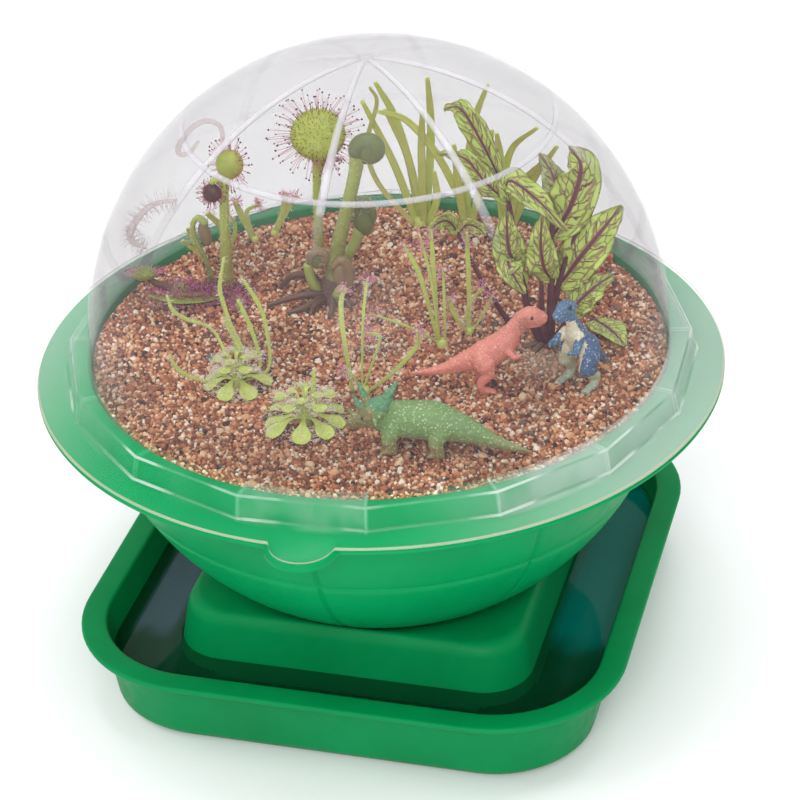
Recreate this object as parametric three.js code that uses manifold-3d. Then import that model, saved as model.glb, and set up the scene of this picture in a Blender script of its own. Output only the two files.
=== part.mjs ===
// A small planted dome terrarium: a water tray with a raised seat, a round pot full of gravelly sand,
// bog plants and toy figures in the sand, and a clear ribbed dome lid that rests on the pot's shelf.
// Millimetres, +Z up. Heights are measured from the underside of the tray, and x = y = 0 is the pot's axis.
import * as THREE from 'three';
import { mergeVertices } from 'three/addons/utils/BufferGeometryUtils.js';
import Module from 'manifold-3d';

const wasm = await Module();
wasm.setup();

// ---------------------------------------------------------------- driving dimensions
const GAP = 0.35;                 // clearance between pieces that touch
const DOME_R = 79.75;             // outside of the clear dome
const DOME_Z = 99.2;              // height of the dome's centre
const LID_WALL = 0.8;
const RIB_WIDTH = 3.2;
const RIB_HEIGHT = 0.9;
const RIB_RINGS = [38.2, 64.7];   // degrees down from the top, the two hoops that cross the ribs
const FLANGE_R = 95;
const LID_FLANGE_TOP = 89.6;
const LID_COLLAR_BASE = 87.3;     // corner radius of the 16-sided collar at the flange
const LID_COLLAR_TOP = 86.0;      // and at its shelf
const LID_SHELF_TOP = 95.9;
const BOWL_R = 81.6;              // outside of the bowl, a part of a ball
const BOWL_Z = 96.4;              // height of that ball's centre
const BOWL_FLOOR = 22.3;          // underside of the flat where the bowl stands
const POT_WALL = 1.5;
const POT_FLANGE_THICK = 1;
const SAND_TOP = 93.2;
const SAND_RELIEF = 0.5;          // how deep the shallow dips in the sand are
const TURN = 1.6;                 // degrees, how far the ribs and corners are turned on the pot
const SECTORS = 8;
const TAB_AZIMUTH = -87;          // degrees, the finger tab at the front of both flanges
const LID_TAB = { radius: 8.4, centre: 93.4 };
const POT_TAB = { radius: 9.5, centre: 93.7 };
const TAB_ROOT = 91;              // where the tabs join the flanges
const TRAY_HALF = 77.6;           // half the tray's side at its rim
const TRAY_CORNER = 36.4;
const TRAY_HEIGHT = 24.6;
const TRAY_WALL = 1.5;
const RIM_WIDTH = 7.1;
const TRAY_FOOT = 68.1;           // half the tray's side at its underside
const FOOT_CORNER = 25.4;
const SEAT_HALF = 47.6;           // half the raised seat's side at its top
const SEAT_TOP = 29.4;
const SEAT_FOOT = 53;             // and at the tray's floor
const WATER_TOP = 15.5;
const SHOOT_TURN = 16;            // degrees, the way in which the plants spread

const rad = THREE.MathUtils.degToRad;
const { lerp, radToDeg, euclideanModulo } = THREE.MathUtils;
const v3 = (x, y, z) => new THREE.Vector3(x, y, z);
const radial = (azimuth, reach, z) => v3(reach * Math.cos(rad(azimuth)), reach * Math.sin(rad(azimuth)), z);
const POT_GREEN = 0x02a05f;

// ---------------------------------------------------------------- mesh helpers
// Skins a row of rings of equally many points. Each end is closed by a fan round a point, or the last
// ring joins the first when `loop` is set. `flip(j)` picks the other diagonal on some of the faces.
function loft(rings, { start, end, loop = false, flip = () => false } = {}) {
  const count = rings[0].length;
  const points = rings.flat();
  const faces = [];
  const at = (i, j) => (i % rings.length) * count + (j % count);
  const steps = loop ? rings.length : rings.length - 1;
  for (let i = 0; i < steps; i += 1) {
    for (let j = 0; j < count; j += 1) {
      const [a, b, c, d] = [at(i, j), at(i, j + 1), at(i + 1, j + 1), at(i + 1, j)];
      if (flip(j)) faces.push([a, b, d], [b, c, d]);
      else faces.push([a, b, c], [a, c, d]);
    }
  }
  if (!loop) {
    const first = points.push(start ?? middle(rings[0])) - 1;
    const last = points.push(end ?? middle(rings.at(-1))) - 1;
    for (let j = 0; j < count; j += 1) {
      faces.push([first, at(0, j + 1), at(0, j)]);
      faces.push([last, at(rings.length - 1, j), at(rings.length - 1, j + 1)]);
    }
  }
  return outward(points, faces);
}

function middle(ring) {
  return ring.reduce((sum, p) => sum.add(p), v3(0, 0, 0)).divideScalar(ring.length);
}

// A geometry from points and faces, turned inside out where its volume comes out negative.
function outward(points, faces) {
  let volume = 0;
  for (const [a, b, c] of faces) volume += points[a].dot(v3(0, 0, 0).crossVectors(points[b], points[c]));
  const index = volume > 0 ? faces.flat() : faces.map(([a, b, c]) => [a, c, b]).flat();
  const geometry = new THREE.BufferGeometry();
  geometry.setAttribute('position', new THREE.Float32BufferAttribute(points.flatMap((p) => p.toArray()), 3));
  geometry.setIndex(index);
  return geometry;
}

function solid(geometry) {
  const bare = geometry.clone();
  bare.deleteAttribute('normal');
  bare.deleteAttribute('uv');
  const merged = mergeVertices(bare, 1e-4);
  return new wasm.Manifold(new wasm.Mesh({
    numProp: 3,
    vertProperties: new Float32Array(merged.attributes.position.array),
    triVerts: new Uint32Array(merged.index.array),
  }));
}

function geometryOf(body) {
  const mesh = body.getMesh();
  const geometry = new THREE.BufferGeometry();
  geometry.setAttribute('position', new THREE.BufferAttribute(mesh.vertProperties, 3));
  geometry.setIndex(new THREE.BufferAttribute(mesh.triVerts, 1));
  return geometry;
}

const fuse = (geometries) => geometryOf(geometries.map(solid).reduce((all, one) => all.add(one)));

// ---------------------------------------------------------------- round shells
const CORNER_STEP = 180 / (2 * SECTORS);           // half of one side of the 16-sided collar
const MAX_RIB_SPREAD = 9;                          // degrees, where the ribs run together at the top

// Azimuths round one ring: both edges and the crest of each rib or groove, and the collar's corners.
function azimuths(radius) {
  const half = Math.min(MAX_RIB_SPREAD, radToDeg(Math.asin(Math.min(1, RIB_WIDTH / 2 / radius))));
  const offsets = [-half, 0, half, CORNER_STEP, 2 * CORNER_STEP, 3 * CORNER_STEP];
  return Array.from({ length: SECTORS }, (_, k) => offsets.map((o) => TURN + (360 / SECTORS) * k + o)).flat();
}

const isCrest = (j) => j % 6 === 1;

// One ring of a shell; `corners` makes it a 16-sided one, whose corners lie at the radius.
function ring(radius, z, { corners = false } = {}) {
  return azimuths(radius).map((azimuth) => {
    const fromSide = euclideanModulo(azimuth - TURN + CORNER_STEP, 2 * CORNER_STEP) - CORNER_STEP;
    const scale = corners ? Math.cos(rad(CORNER_STEP)) / Math.cos(rad(fromSide)) : 1;
    return radial(azimuth, radius * scale, z);
  });
}

// A ring on a ball, `down` degrees from its top, raised by `crest` on the ribs and by `all` everywhere.
function ballRing(radius, centreZ, down, { crest = 0, all = 0 } = {}) {
  const centre = v3(0, 0, centreZ);
  const points = ring(radius * Math.sin(rad(down)), centreZ + radius * Math.cos(rad(down)));
  return points.map((p, j) => p.addScaledVector(p.clone().sub(centre).normalize(), isCrest(j) ? crest : all));
}

const DOME_STEPS = [5, 21, 38.2, 51.5, 64.7, 77.5, 90];
const HOOP_HALF = radToDeg(RIB_WIDTH / 2 / DOME_R);

function finger(tab, low, high) {
  const reach = Math.sqrt(tab.radius ** 2 - (TAB_ROOT - tab.centre) ** 2);
  const start = Math.atan2(TAB_ROOT - tab.centre, reach);
  const outline = new THREE.Shape();
  outline.absarc(0, tab.centre, tab.radius, start, Math.PI - start, false);
  outline.closePath();
  const depth = high - low;
  const plate = new THREE.ExtrudeGeometry(outline, { depth, bevelEnabled: false, curveSegments: 12 });
  plate.rotateZ(rad(TAB_AZIMUTH - 90));
  plate.translate(0, 0, low);
  return plate;
}

const TAB_INSET = 0.1;            // the tabs are this much thinner than the flanges on each face

function lidGeometry() {
  const outer = DOME_STEPS.flatMap((down) => {
    const ribbed = { crest: RIB_HEIGHT };
    if (!RIB_RINGS.includes(down)) return [ballRing(DOME_R, DOME_Z, down, ribbed)];
    return [
      ballRing(DOME_R, DOME_Z, down - HOOP_HALF, ribbed),
      ballRing(DOME_R, DOME_Z, down, { crest: RIB_HEIGHT, all: RIB_HEIGHT }),
      ballRing(DOME_R, DOME_Z, down + HOOP_HALF, ribbed),
    ];
  });
  const flangeLow = LID_FLANGE_TOP - LID_WALL;
  const shelfLow = LID_SHELF_TOP - LID_WALL;
  const rings = [
    ...outer,
    ring(DOME_R, LID_SHELF_TOP),
    ring(LID_COLLAR_TOP, LID_SHELF_TOP, { corners: true }),
    ring(LID_COLLAR_BASE, LID_FLANGE_TOP, { corners: true }),
    ring(FLANGE_R, LID_FLANGE_TOP),
    ring(FLANGE_R, flangeLow),
    ring(LID_COLLAR_BASE - LID_WALL, flangeLow, { corners: true }),
    ring(LID_COLLAR_TOP - LID_WALL, shelfLow, { corners: true }),
    ring(DOME_R - LID_WALL, shelfLow),
    ...DOME_STEPS.toReversed().map((down) => ballRing(DOME_R - LID_WALL, DOME_Z, down)),
  ];
  const shell = loft(rings, {
    start: v3(0, 0, DOME_Z + DOME_R + RIB_HEIGHT),
    end: v3(0, 0, DOME_Z + DOME_R - LID_WALL),
  });
  return fuse([shell, finger(LID_TAB, flangeLow + TAB_INSET, LID_FLANGE_TOP - TAB_INSET)]);
}

const POT_FLANGE_TOP = LID_FLANGE_TOP - LID_WALL - GAP;
const POT_FLANGE_LOW = POT_FLANGE_TOP - POT_FLANGE_THICK;
const POT_SHELF_TOP = LID_SHELF_TOP - LID_WALL - GAP;
const POCKET_TOP = 91.2;          // the collar is hollow below, up to here
const BOWL_INNER = BOWL_R - POT_WALL;
const OUTER_STEPS = [38, 51.5, 64.7, 77, 84.5];   // degrees up from the bowl's lowest point
const INNER_STEPS = [38, 60, 81];
const COLLAR_SHIFT = LID_WALL + GAP + 0.1;        // from the lid's collar to the pot's

// Radius of a ball of radius `ball` round the bowl's centre, at height z.
const bowlRadius = (ball, z) => Math.sqrt(ball ** 2 - (BOWL_Z - z) ** 2);

// The lid's rings without the edges of its ribs.
const plain = (rings) => rings.map((points) => points.filter((_, j) => j % 6 !== 0 && j % 6 !== 2));

function potGeometry() {
  const insideFloor = BOWL_FLOOR + POT_WALL;
  const shelfCorner = LID_COLLAR_TOP - COLLAR_SHIFT;
  const baseCorner = LID_COLLAR_BASE - COLLAR_SHIFT;
  const footR = bowlRadius(BOWL_R, BOWL_FLOOR + 2);
  const shell = loft(plain([
    ring(footR - 3, insideFloor),
    ...INNER_STEPS.map((up) => ballRing(BOWL_INNER, BOWL_Z, 180 - up)),
    ring(BOWL_INNER + 0.3, POT_SHELF_TOP),
    ring(shelfCorner, POT_SHELF_TOP, { corners: true }),
    ring(baseCorner, POT_FLANGE_TOP, { corners: true }),
    ring(FLANGE_R, POT_FLANGE_TOP),
    ring(FLANGE_R, POT_FLANGE_LOW),
    ring(baseCorner - POT_WALL, POT_FLANGE_LOW, { corners: true }),
    ring(baseCorner - POT_WALL - 0.9, POCKET_TOP, { corners: true }),
    ring(bowlRadius(BOWL_R, POCKET_TOP), POCKET_TOP),
    ...OUTER_STEPS.toReversed().map((up) => ballRing(BOWL_R, BOWL_Z, 180 - up)),
    ring(footR - 1, BOWL_FLOOR + 0.8),
    ring(footR - 3, BOWL_FLOOR),
  ]), { start: v3(0, 0, insideFloor), end: v3(0, 0, BOWL_FLOOR) });
  return fuse([shell, finger(POT_TAB, POT_FLANGE_LOW + TAB_INSET, POT_FLANGE_TOP - TAB_INSET)]);
}

// Height of the sand: shallow dips below its top, which the toys and the plants' roots keep clear of.
function sandHeight({ x, y }) {
  const dip = 0.5 + 0.5 * Math.sin(0.11 * x + 0.05 * y + 0.4) * Math.cos(0.04 * x - 0.13 * y + 1.1);
  return SAND_TOP - SAND_RELIEF * dip;
}

// The sand fills the bowl; `holes` are the plain holes in which the plants stand.
function sandGeometry(holes) {
  const ball = BOWL_INNER - GAP;
  const floor = BOWL_FLOOR + POT_WALL + GAP;
  const settle = (p) => p.setZ(sandHeight(p));
  const heap = loft(plain([
    ring(bowlRadius(BOWL_R, BOWL_FLOOR + 2) - 3.6, floor),
    ...INNER_STEPS.map((up) => ballRing(ball, BOWL_Z, 180 - up)),
    ...[ball - 0.3, 64, 45, 22].map((radius) => ring(radius, SAND_TOP).map(settle)),
  ]), { start: v3(0, 0, floor), end: settle(v3(0, 0, 0)) });
  return geometryOf(holes.reduce((left, hole) => left.subtract(solid(hole)), solid(heap)));
}

// ---------------------------------------------------------------- tray and water
// Azimuths of the points of every ring of the tray in one quarter, closer together at the corner.
const QUARTER = [0, 13, 26, 37, 45, 53, 64, 77];
const TRAY_AZIMUTHS = [0, 90, 180, 270].flatMap((quarter) => QUARTER.map((azimuth) => quarter + azimuth));

// How far a square with round corners reaches at an azimuth; `half` is the distance to its sides.
function squareReach(half, corner, azimuth) {
  const [near, far] = [Math.cos(rad(azimuth)), Math.sin(rad(azimuth))].map(Math.abs).sort((a, b) => b - a);
  const middleOfCorner = half - corner;
  if ((half * far) / near <= middleOfCorner) return half / near;
  const along = middleOfCorner * (near + far);
  return along + Math.sqrt(along ** 2 - 2 * middleOfCorner ** 2 + corner ** 2);
}

const square = (half, corner, z) => TRAY_AZIMUTHS.map((a) => radial(a, squareReach(half, corner, a), z));
const circle = (radius, z) => TRAY_AZIMUTHS.map((a) => radial(a, radius, z));

const SEAT_CORNER = 12;
const seatHalf = (z) => lerp(SEAT_FOOT, SEAT_HALF, z / SEAT_TOP);
const wallHalf = (z) => lerp(TRAY_FOOT, TRAY_HALF - RIM_WIDTH + TRAY_WALL, z / TRAY_HEIGHT);

function trayGeometry() {
  const dish = BOWL_R + GAP;                       // the seat's dish follows the bowl
  const dishRim = SEAT_TOP - 0.8;
  const dishFlat = bowlRadius(BOWL_R, BOWL_FLOOR + 2) - 1;
  const inner = TRAY_HALF - RIM_WIDTH;
  const innerCorner = TRAY_CORNER - RIM_WIDTH;
  const below = TRAY_WALL;
  return loft([
    circle(dishFlat, BOWL_FLOOR - GAP),
    circle(bowlRadius(dish, dishRim - 2.9), dishRim - 2.9),
    circle(bowlRadius(dish, dishRim), dishRim),
    square(SEAT_HALF - 1.1, SEAT_CORNER - 1.1, SEAT_TOP),
    square(SEAT_HALF, SEAT_CORNER, SEAT_TOP - 1),
    square(seatHalf(3.5), SEAT_CORNER + 3, 3.5),
    square(seatHalf(0) + 1.5, SEAT_CORNER + 4, TRAY_WALL),
    square(TRAY_FOOT - 6, FOOT_CORNER - 4, TRAY_WALL),
    square(wallHalf(4) - TRAY_WALL, FOOT_CORNER - 1, 4),
    square(inner, innerCorner, TRAY_HEIGHT),
    square(TRAY_HALF - 0.4, TRAY_CORNER, TRAY_HEIGHT),
    square(TRAY_HALF, TRAY_CORNER, TRAY_HEIGHT - 0.5),
    square(TRAY_HALF, TRAY_CORNER, TRAY_HEIGHT - TRAY_WALL),
    square(inner + below, innerCorner + below, TRAY_HEIGHT - TRAY_WALL),
    square(wallHalf(3), FOOT_CORNER + 1, 3),
    square(TRAY_FOOT - 2, FOOT_CORNER, 0),
    square(seatHalf(0) - 0.4, SEAT_CORNER + 3, 0),
    square(seatHalf(3.5) - below - 0.3, SEAT_CORNER + 2, 3.5),
    square(SEAT_HALF - below, SEAT_CORNER - 1, SEAT_TOP - 2.6),
    circle(bowlRadius(dish, dishRim) - 2.4, dishRim - 2.6),
    circle(dishFlat, BOWL_FLOOR - GAP - below),
  ], { start: v3(0, 0, BOWL_FLOOR - GAP), end: v3(0, 0, BOWL_FLOOR - GAP - below) });
}

function waterGeometry() {
  const low = TRAY_WALL + GAP;
  const wallGap = TRAY_WALL + GAP;
  const wall = (z, corner) => square(wallHalf(z) - wallGap - 0.15, corner - 1.5, z);
  const seat = (z) => square(seatHalf(z) + GAP + 0.2, SEAT_CORNER + 2.5, z);
  return loft([
    square(seatHalf(0) + 2.2, SEAT_CORNER + 4.5, low),
    square(TRAY_FOOT - 6.6, FOOT_CORNER - 4.4, low),
    wall(WATER_TOP, FOOT_CORNER + 2),
    seat(WATER_TOP),
  ], { loop: true });
}

// ---------------------------------------------------------------- stems, blades and leaves
const ACROSS = v3(Math.cos(rad(SHOOT_TURN)), Math.sin(rad(SHOOT_TURN)), 0);
const TOWARD = v3(Math.sin(rad(SHOOT_TURN)), -Math.cos(rad(SHOOT_TURN)), 0);
const UP = v3(0, 0, 1);

// A point of a plant rooted at `root`: millimetres across, toward the front, and up from the sand.
function shoot(root, [across, toward, up]) {
  return v3(root[0], root[1], SAND_TOP + up).addScaledVector(ACROSS, across).addScaledVector(TOWARD, toward);
}

function spread(values, t) {
  const place = t * (values.length - 1);
  const k = Math.min(values.length - 2, Math.floor(place));
  return lerp(values[k], values[k + 1], place - k);
}

const curveThrough = (points) => (points.length > 2
  ? new THREE.CatmullRomCurve3(points, false, 'centripetal')
  : new THREE.LineCurve3(...points));

// A round stem through points, with its radii spread along it.
function stem(points, radii, { sides = 6, steps = 3 } = {}) {
  const curve = curveThrough(points);
  let side = TOWARD.clone();
  const rings = Array.from({ length: steps + 1 }, (_, i) => {
    const t = i / steps;
    const ahead = curve.getTangent(t);
    side = side.addScaledVector(ahead, -side.dot(ahead)).normalize();
    const cross = v3(0, 0, 0).crossVectors(ahead, side);
    const r = spread(radii, t);
    return Array.from({ length: sides }, (_unused, j) => {
      const turn = (2 * Math.PI * j) / sides;
      const edge = curve.getPoint(t).addScaledVector(side, r * Math.cos(turn));
      return edge.addScaledVector(cross, r * Math.sin(turn));
    });
  });
  return loft(rings);
}

const BLADE_THICK = 0.75;

// A slim blade that shows its broad face to `face`.
function blade(points, halfWidths, { steps = 3, thick = BLADE_THICK, face = TOWARD } = {}) {
  const curve = curveThrough(points);
  const rings = Array.from({ length: steps + 1 }, (_, i) => {
    const t = i / steps;
    const p = curve.getPoint(t);
    const side = v3(0, 0, 0).crossVectors(curve.getTangent(t), face).normalize();
    const back = v3(0, 0, 0).crossVectors(side, curve.getTangent(t)).normalize();
    const half = spread(halfWidths, t);
    return [
      p.clone().addScaledVector(side, half),
      p.clone().addScaledVector(back, thick / 2),
      p.clone().addScaledVector(side, -half),
      p.clone().addScaledVector(back, -thick / 2),
    ];
  });
  return loft(rings);
}

const LEAF_STEPS = 5;
const LEAF_THICK = 1.1;           // at the midrib

// A broad leaf with waved edges and a raised midrib, from its stalk to its tip.
function leaf(points, width, { wave = 0.8, waves = 3, face = TOWARD, fold = 0.12 } = {}) {
  const curve = curveThrough(points);
  const rings = Array.from({ length: LEAF_STEPS + 1 }, (_, i) => {
    const t = 0.02 + (0.96 * i) / LEAF_STEPS;
    const p = curve.getPoint(t);
    const ahead = curve.getTangent(t);
    const side = v3(0, 0, 0).crossVectors(ahead, face).normalize();
    const out = v3(0, 0, 0).crossVectors(side, ahead).normalize();
    const half = (width / 2) * Math.max(0.1, Math.sin(Math.PI * t ** 0.75) ** 0.8);
    const edge = (sign, phase) => {
      const lift = fold * half + wave * Math.sin(2 * Math.PI * waves * t + phase);
      return p.clone().addScaledVector(side, sign * half).addScaledVector(out, lift);
    };
    const rib = (raise) => p.clone().addScaledVector(out, raise);
    return [edge(1, 0), rib(LEAF_THICK / 2), edge(-1, 1.3), rib(-LEAF_THICK / 2)];
  });
  return loft(rings, { flip: (j) => j >= 2 });
}

function egg(centre, [a, b, c], { lean = 0, segments = 7 } = {}) {
  const geometry = new THREE.SphereGeometry(1, segments, Math.round(segments * 0.7));
  geometry.scale(a, b, c);
  geometry.rotateY(rad(lean));
  geometry.rotateZ(rad(SHOOT_TURN));
  geometry.translate(centre.x, centre.y, centre.z);
  return geometry;
}

const ROOT_DEPTH = 8;
const ROOT_RISE = 1.2;
const HOLE_SIDES = 8;

// The part of a plant below the sand, and the plain hole that it stands in.
function root([x, y], radius) {
  const axis = [v3(x, y, SAND_TOP - ROOT_DEPTH), v3(x, y, SAND_TOP + ROOT_RISE)];
  return stem(axis, [radius * 0.8, radius], { steps: 1 });
}

function hole([x, y], radius) {
  const wide = (radius + GAP) / Math.cos(Math.PI / HOLE_SIDES);
  const axis = [v3(x, y, SAND_TOP - ROOT_DEPTH - GAP), v3(x, y, SAND_TOP + 1)];
  return stem(axis, [wide, wide], { sides: HOLE_SIDES, steps: 1 });
}

// Three-sided hairs that stand out of a round head, in rows round the way it faces.
function hairs(centre, radii, facing, rows) {
  const axis = facing.clone().normalize();
  const first = v3(0, 0, 0).crossVectors(axis, UP).normalize();
  const second = v3(0, 0, 0).crossVectors(axis, first);
  return rows.flatMap(({ count, tilt, length, start }) => Array.from({ length: count }, (_, k) => {
    const turn = (2 * Math.PI * (k + start)) / count;
    const out = first.clone().multiplyScalar(Math.cos(turn)).addScaledVector(second, Math.sin(turn));
    const way = axis.clone().multiplyScalar(Math.cos(rad(tilt))).addScaledVector(out, Math.sin(rad(tilt)));
    const base = centre.clone().addScaledVector(way, radii * 0.72);
    const tip = centre.clone().addScaledVector(way, radii + length);
    return stem([base, tip], [0.55, 0.3], { sides: 3, steps: 1 });
  }));
}

// ---------------------------------------------------------------- the plants
const FACING = TOWARD.clone().multiplyScalar(0.8).add(UP);

const plants = [];
function plant(name, color, [foot, radius], pieces) {
  plants.push({ name, color, holes: [hole(foot, radius)], geometry: fuse([root(foot, radius), ...pieces]) });
}

function tallSundew() {
  const foot = [-31, 47];
  const head = shoot(foot, [1.6, 0.6, 37]);
  plant('sundew_tall', 0x8fb040, [foot, 1.5], [
    stem([[0, 0, 0], [0.3, 0, 20], [1.4, 0, 35]].map((p) => shoot(foot, p)), [1.4, 1.2, 1.6]),
    egg(head, [7.2, 4.6, 7.0], { segments: 9 }),
    ...hairs(head, 6.2, FACING, [
      { count: 14, tilt: 96, length: 7, start: 0 },
      { count: 8, tilt: 64, length: 4.4, start: 0.5 },
      { count: 3, tilt: 30, length: 2.8, start: 0 },
    ]),
  ]);
}

// A shoot rolled up at its tip: most of a turn of thick stem round a flat core.
function rolled(centre, size, thick, turnFrom, turnTo) {
  const reach = size - thick;
  const points = Array.from({ length: 6 }, (_, k) => {
    const turn = rad(lerp(turnFrom, turnTo, k / 5));
    const point = centre.clone().addScaledVector(ACROSS, reach * Math.cos(turn));
    return point.addScaledVector(UP, reach * Math.sin(turn));
  });
  const core = egg(centre, [size * 0.62, thick * 0.8, size * 0.62], { segments: 6 });
  return [stem(points, [thick, thick, thick * 0.9], { steps: 7 }), core];
}

function rolledSundew() {
  const foot = [-20.4, 20];
  const at = (p) => shoot(foot, p);
  const shank = (points, radii, steps = 2) => stem(points.map(at), radii, { steps });
  plant('sundew_rolled', 0x7c8f3c, [foot, 3.4], [
    shank([[0, 0, 0], [3.6, 0, 17], [7.2, 0, 31], [9.6, 0, 41], [10.4, 0, 47]], [2.7, 2.2, 1.8, 1.9, 2.0], 5),
    ...rolled(at([13.3, 0, 46.8]), 5.4, 2.3, 175, -120),
    shank([[1, -1, 0], [4, -5, 8], [8, -6, 20]], [1.8, 1.6, 1.6], 3),
    egg(at([7.6, -6, 25]), [3.6, 2.6, 5.4], { lean: 12 }),
    shank([[-1, 0, 0], [-3.4, 0, 7], [-3.2, 0, 13]], [1.7, 1.5, 1.5]),
    ...rolled(at([-0.4, 0, 13.6]), 4.0, 1.5, 185, -60),
    shank([[1, 1, 0], [3.2, 3, 6]], [1.6, 1.5], 1),
    egg(at([3.8, 3, 9.4]), [2.8, 2.2, 4.2], { segments: 6 }),
    shank([[0, 1, 1.8], [-9, 2, 1.9], [-17, 3.4, 1.2]], [1.4, 1.3, 0.8]),
    shank([[-1, 1, 1.6], [-6, 6.5, 1.3], [-11, 8, 1.2]], [1.2, 1.0, 0.8]),
    shank([[0.6, 1, 1.6], [1, 6, 1.3], [0.5, 10, 1.2]], [1.2, 1.0, 0.8]),
  ]);
}

function leftSundew() {
  const foot = [-50, 18.4];
  const at = (p) => shoot(foot, p);
  const head = at([3.4, 0.6, 41]);
  const farPad = at([-22, 2.6, 7]);
  const lying = (points, halfWidths) => blade(points.map(at), halfWidths, { face: UP });
  plant('sundew_left', 0x86a83a, [foot, 2.4], [
    stem([[0, 0, 0], [0.5, 0, 18], [1.3, 0, 34], [3, 0, 38]].map(at), [2.1, 1.6, 1.5, 1.5]),
    egg(head, [4.6, 3.2, 4.4]),
    ...hairs(head, 3.9, FACING, [
      { count: 10, tilt: 94, length: 4.6, start: 0 },
      { count: 4, tilt: 52, length: 3.2, start: 0.5 },
    ]),
    egg(at([-1.6, 0.6, 32]), [2.2, 1.5, 3.9], { segments: 6 }),
    stem([[0, 0, 1.6], [-6, 1, 2.2], [-13, 2.4, 2.8], [-22, 2.6, 6]].map(at), [1.3, 1.2, 1.1, 0.9]),
    stem([[0, 0, 1.6], [3, 0.5, 1.6], [7, 1, 1.2]].map(at), [1.3, 1.1, 0.8], { steps: 2 }),
    egg(at([-13.4, 3, 3]), [2.8, 2.2, 1.6], { segments: 6 }),
    egg(farPad, [4.4, 2.6, 3.2]),
    ...hairs(farPad, 3.2, v3(0, -0.6, 1), [{ count: 5, tilt: 70, length: 3, start: 0.3 }]),
    lying([[0, 1, 0.8], [-5, 7, 1.6], [-14, 8.5, 2], [-22, 8, 4.4]], [0.8, 1.3, 1.4, 0.7]),
    lying([[0, 1, 0.8], [3, 8, 1.4], [4, 14, 1]], [0.8, 1.2, 0.6]),
  ]);
}

function hookedSundew() {
  const foot = [-55.6, 21.4];
  const path = [[0, 0, 0], [-1, 0, 7], [-3.8, 0, 16], [-3.2, 0, 19.6], [-1.4, 0, 19]];
  plant('sundew_hooked', 0x6e6a38, [foot, 1.0], [
    stem(path.map((p) => shoot(foot, p)), [0.9, 0.8, 0.8, 0.8, 1.1], { sides: 5, steps: 6 }),
    egg(shoot(foot, [-1, 0, 15.4]), [1.6, 1.3, 4.0], { lean: -8, segments: 6 }),
  ]);
}

// Blades of one clump, which all start in its root.
function clump(name, color, [foot, radius], blades, halfWidths, steps, thick) {
  plant(name, color, [foot, radius], blades.map((points) => (
    blade(points.map((p) => shoot(foot, p)), halfWidths, { steps, thick }))));
}

function smallSprouts() {
  const sprouts = {
    sprout_far_left: [[-62.5, 35.5], [
      [[0, 0, 0], [-2, 2, 8], [-3.5, 6, 14]],
      [[0, 0, 0], [-4, 2, 5], [-5.5, 6, 10]],
    ]],
    sprout_back_left: [[-57, 41], [
      [[0, 0, 0], [-1, 2, 9], [-5, 5, 16]],
      [[0, 0, 0], [2.6, 1, 9], [0.5, 3, 15]],
    ]],
    sprout_back: [[-51.5, 49.5], [
      [[0, 0, 0], [-3, 0, 8], [-5, 1, 14]],
      [[0, 0, 0], [-3, 0, 9], [2.4, 1, 12.6]],
    ]],
    sprout_pair: [[-47, 54], [
      [[0, 0, 0], [2.6, 0, 8], [4.4, 2.6, 14.6]],
      [[0, 0, 0], [4, 0, 7], [7.4, 2.6, 14]],
    ]],
  };
  for (const [name, [foot, shoots]] of Object.entries(sprouts)) {
    clump(name, 0x9dbb4a, [foot, 1.3], shoots, [0.8, 0.75, 0.4], 3, 0.9);
  }
}

function grasses() {
  const tufts = {
    grass_left: [[-6, 68.6], 3.2, [
      [[-1, 0, 0], [-7, 1.5, 21], [-15.4, 9, 45.6]],
      [[1.6, 0, 0], [-5.3, 4, 34.5], [-11.3, 15, 54]],
      [[1.8, -1, 0], [4, 6, 33], [3.4, 22, 58]],
      [[1.9, 1, 0], [5, 2, 9], [4.6, 3, 19]],
      [[-1.6, 1, 0], [-12, 3, 16], [-14.6, 6, 30], [-11.2, 11, 45.5], [-13, 16, 53]],
      [[0, -1, 0], [-3, 3, 24], [-9, 12, 44]],
      [[1, 1, 0], [1, 9, 28], [1.6, 20, 47]],
    ]],
    grass_middle: [[9, 68.4], 2.8, [
      [[1.2, 0, 0], [-7.6, 3, 24], [-16.9, 8, 40], [-25.3, 11, 45]],
      [[0, 0, 0], [-0.5, 1, 17.5], [2, 10, 40], [5.5, 24, 58]],
      [[-1.2, 0, 0], [-3, 3, 17], [-4, 10, 33]],
      [[0, 1, 0], [5, 4, 22], [7, 12, 38]],
    ]],
    grass_right: [[20.4, 68.4], 2.4, [
      [[-1, 0, 0], [-1.3, 0, 12], [1.4, 6, 30], [8.2, 19.5, 43.4]],
      [[1, 0, 0], [7, 7, 19.6], [13.6, 22, 38.7]],
      [[0, 0.8, 0], [3.6, 6, 18], [10.6, 20, 34]],
      [[0, -0.8, 0], [-1.6, 7, 26], [-3, 15, 40]],
    ]],
  };
  for (const [name, [foot, radius, blades]] of Object.entries(tufts)) {
    clump(name, 0x83b437, [foot, radius], blades, [0.9, 1.25, 1.2, 0.9, 0.3], 5, BLADE_THICK);
  }
}

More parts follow.
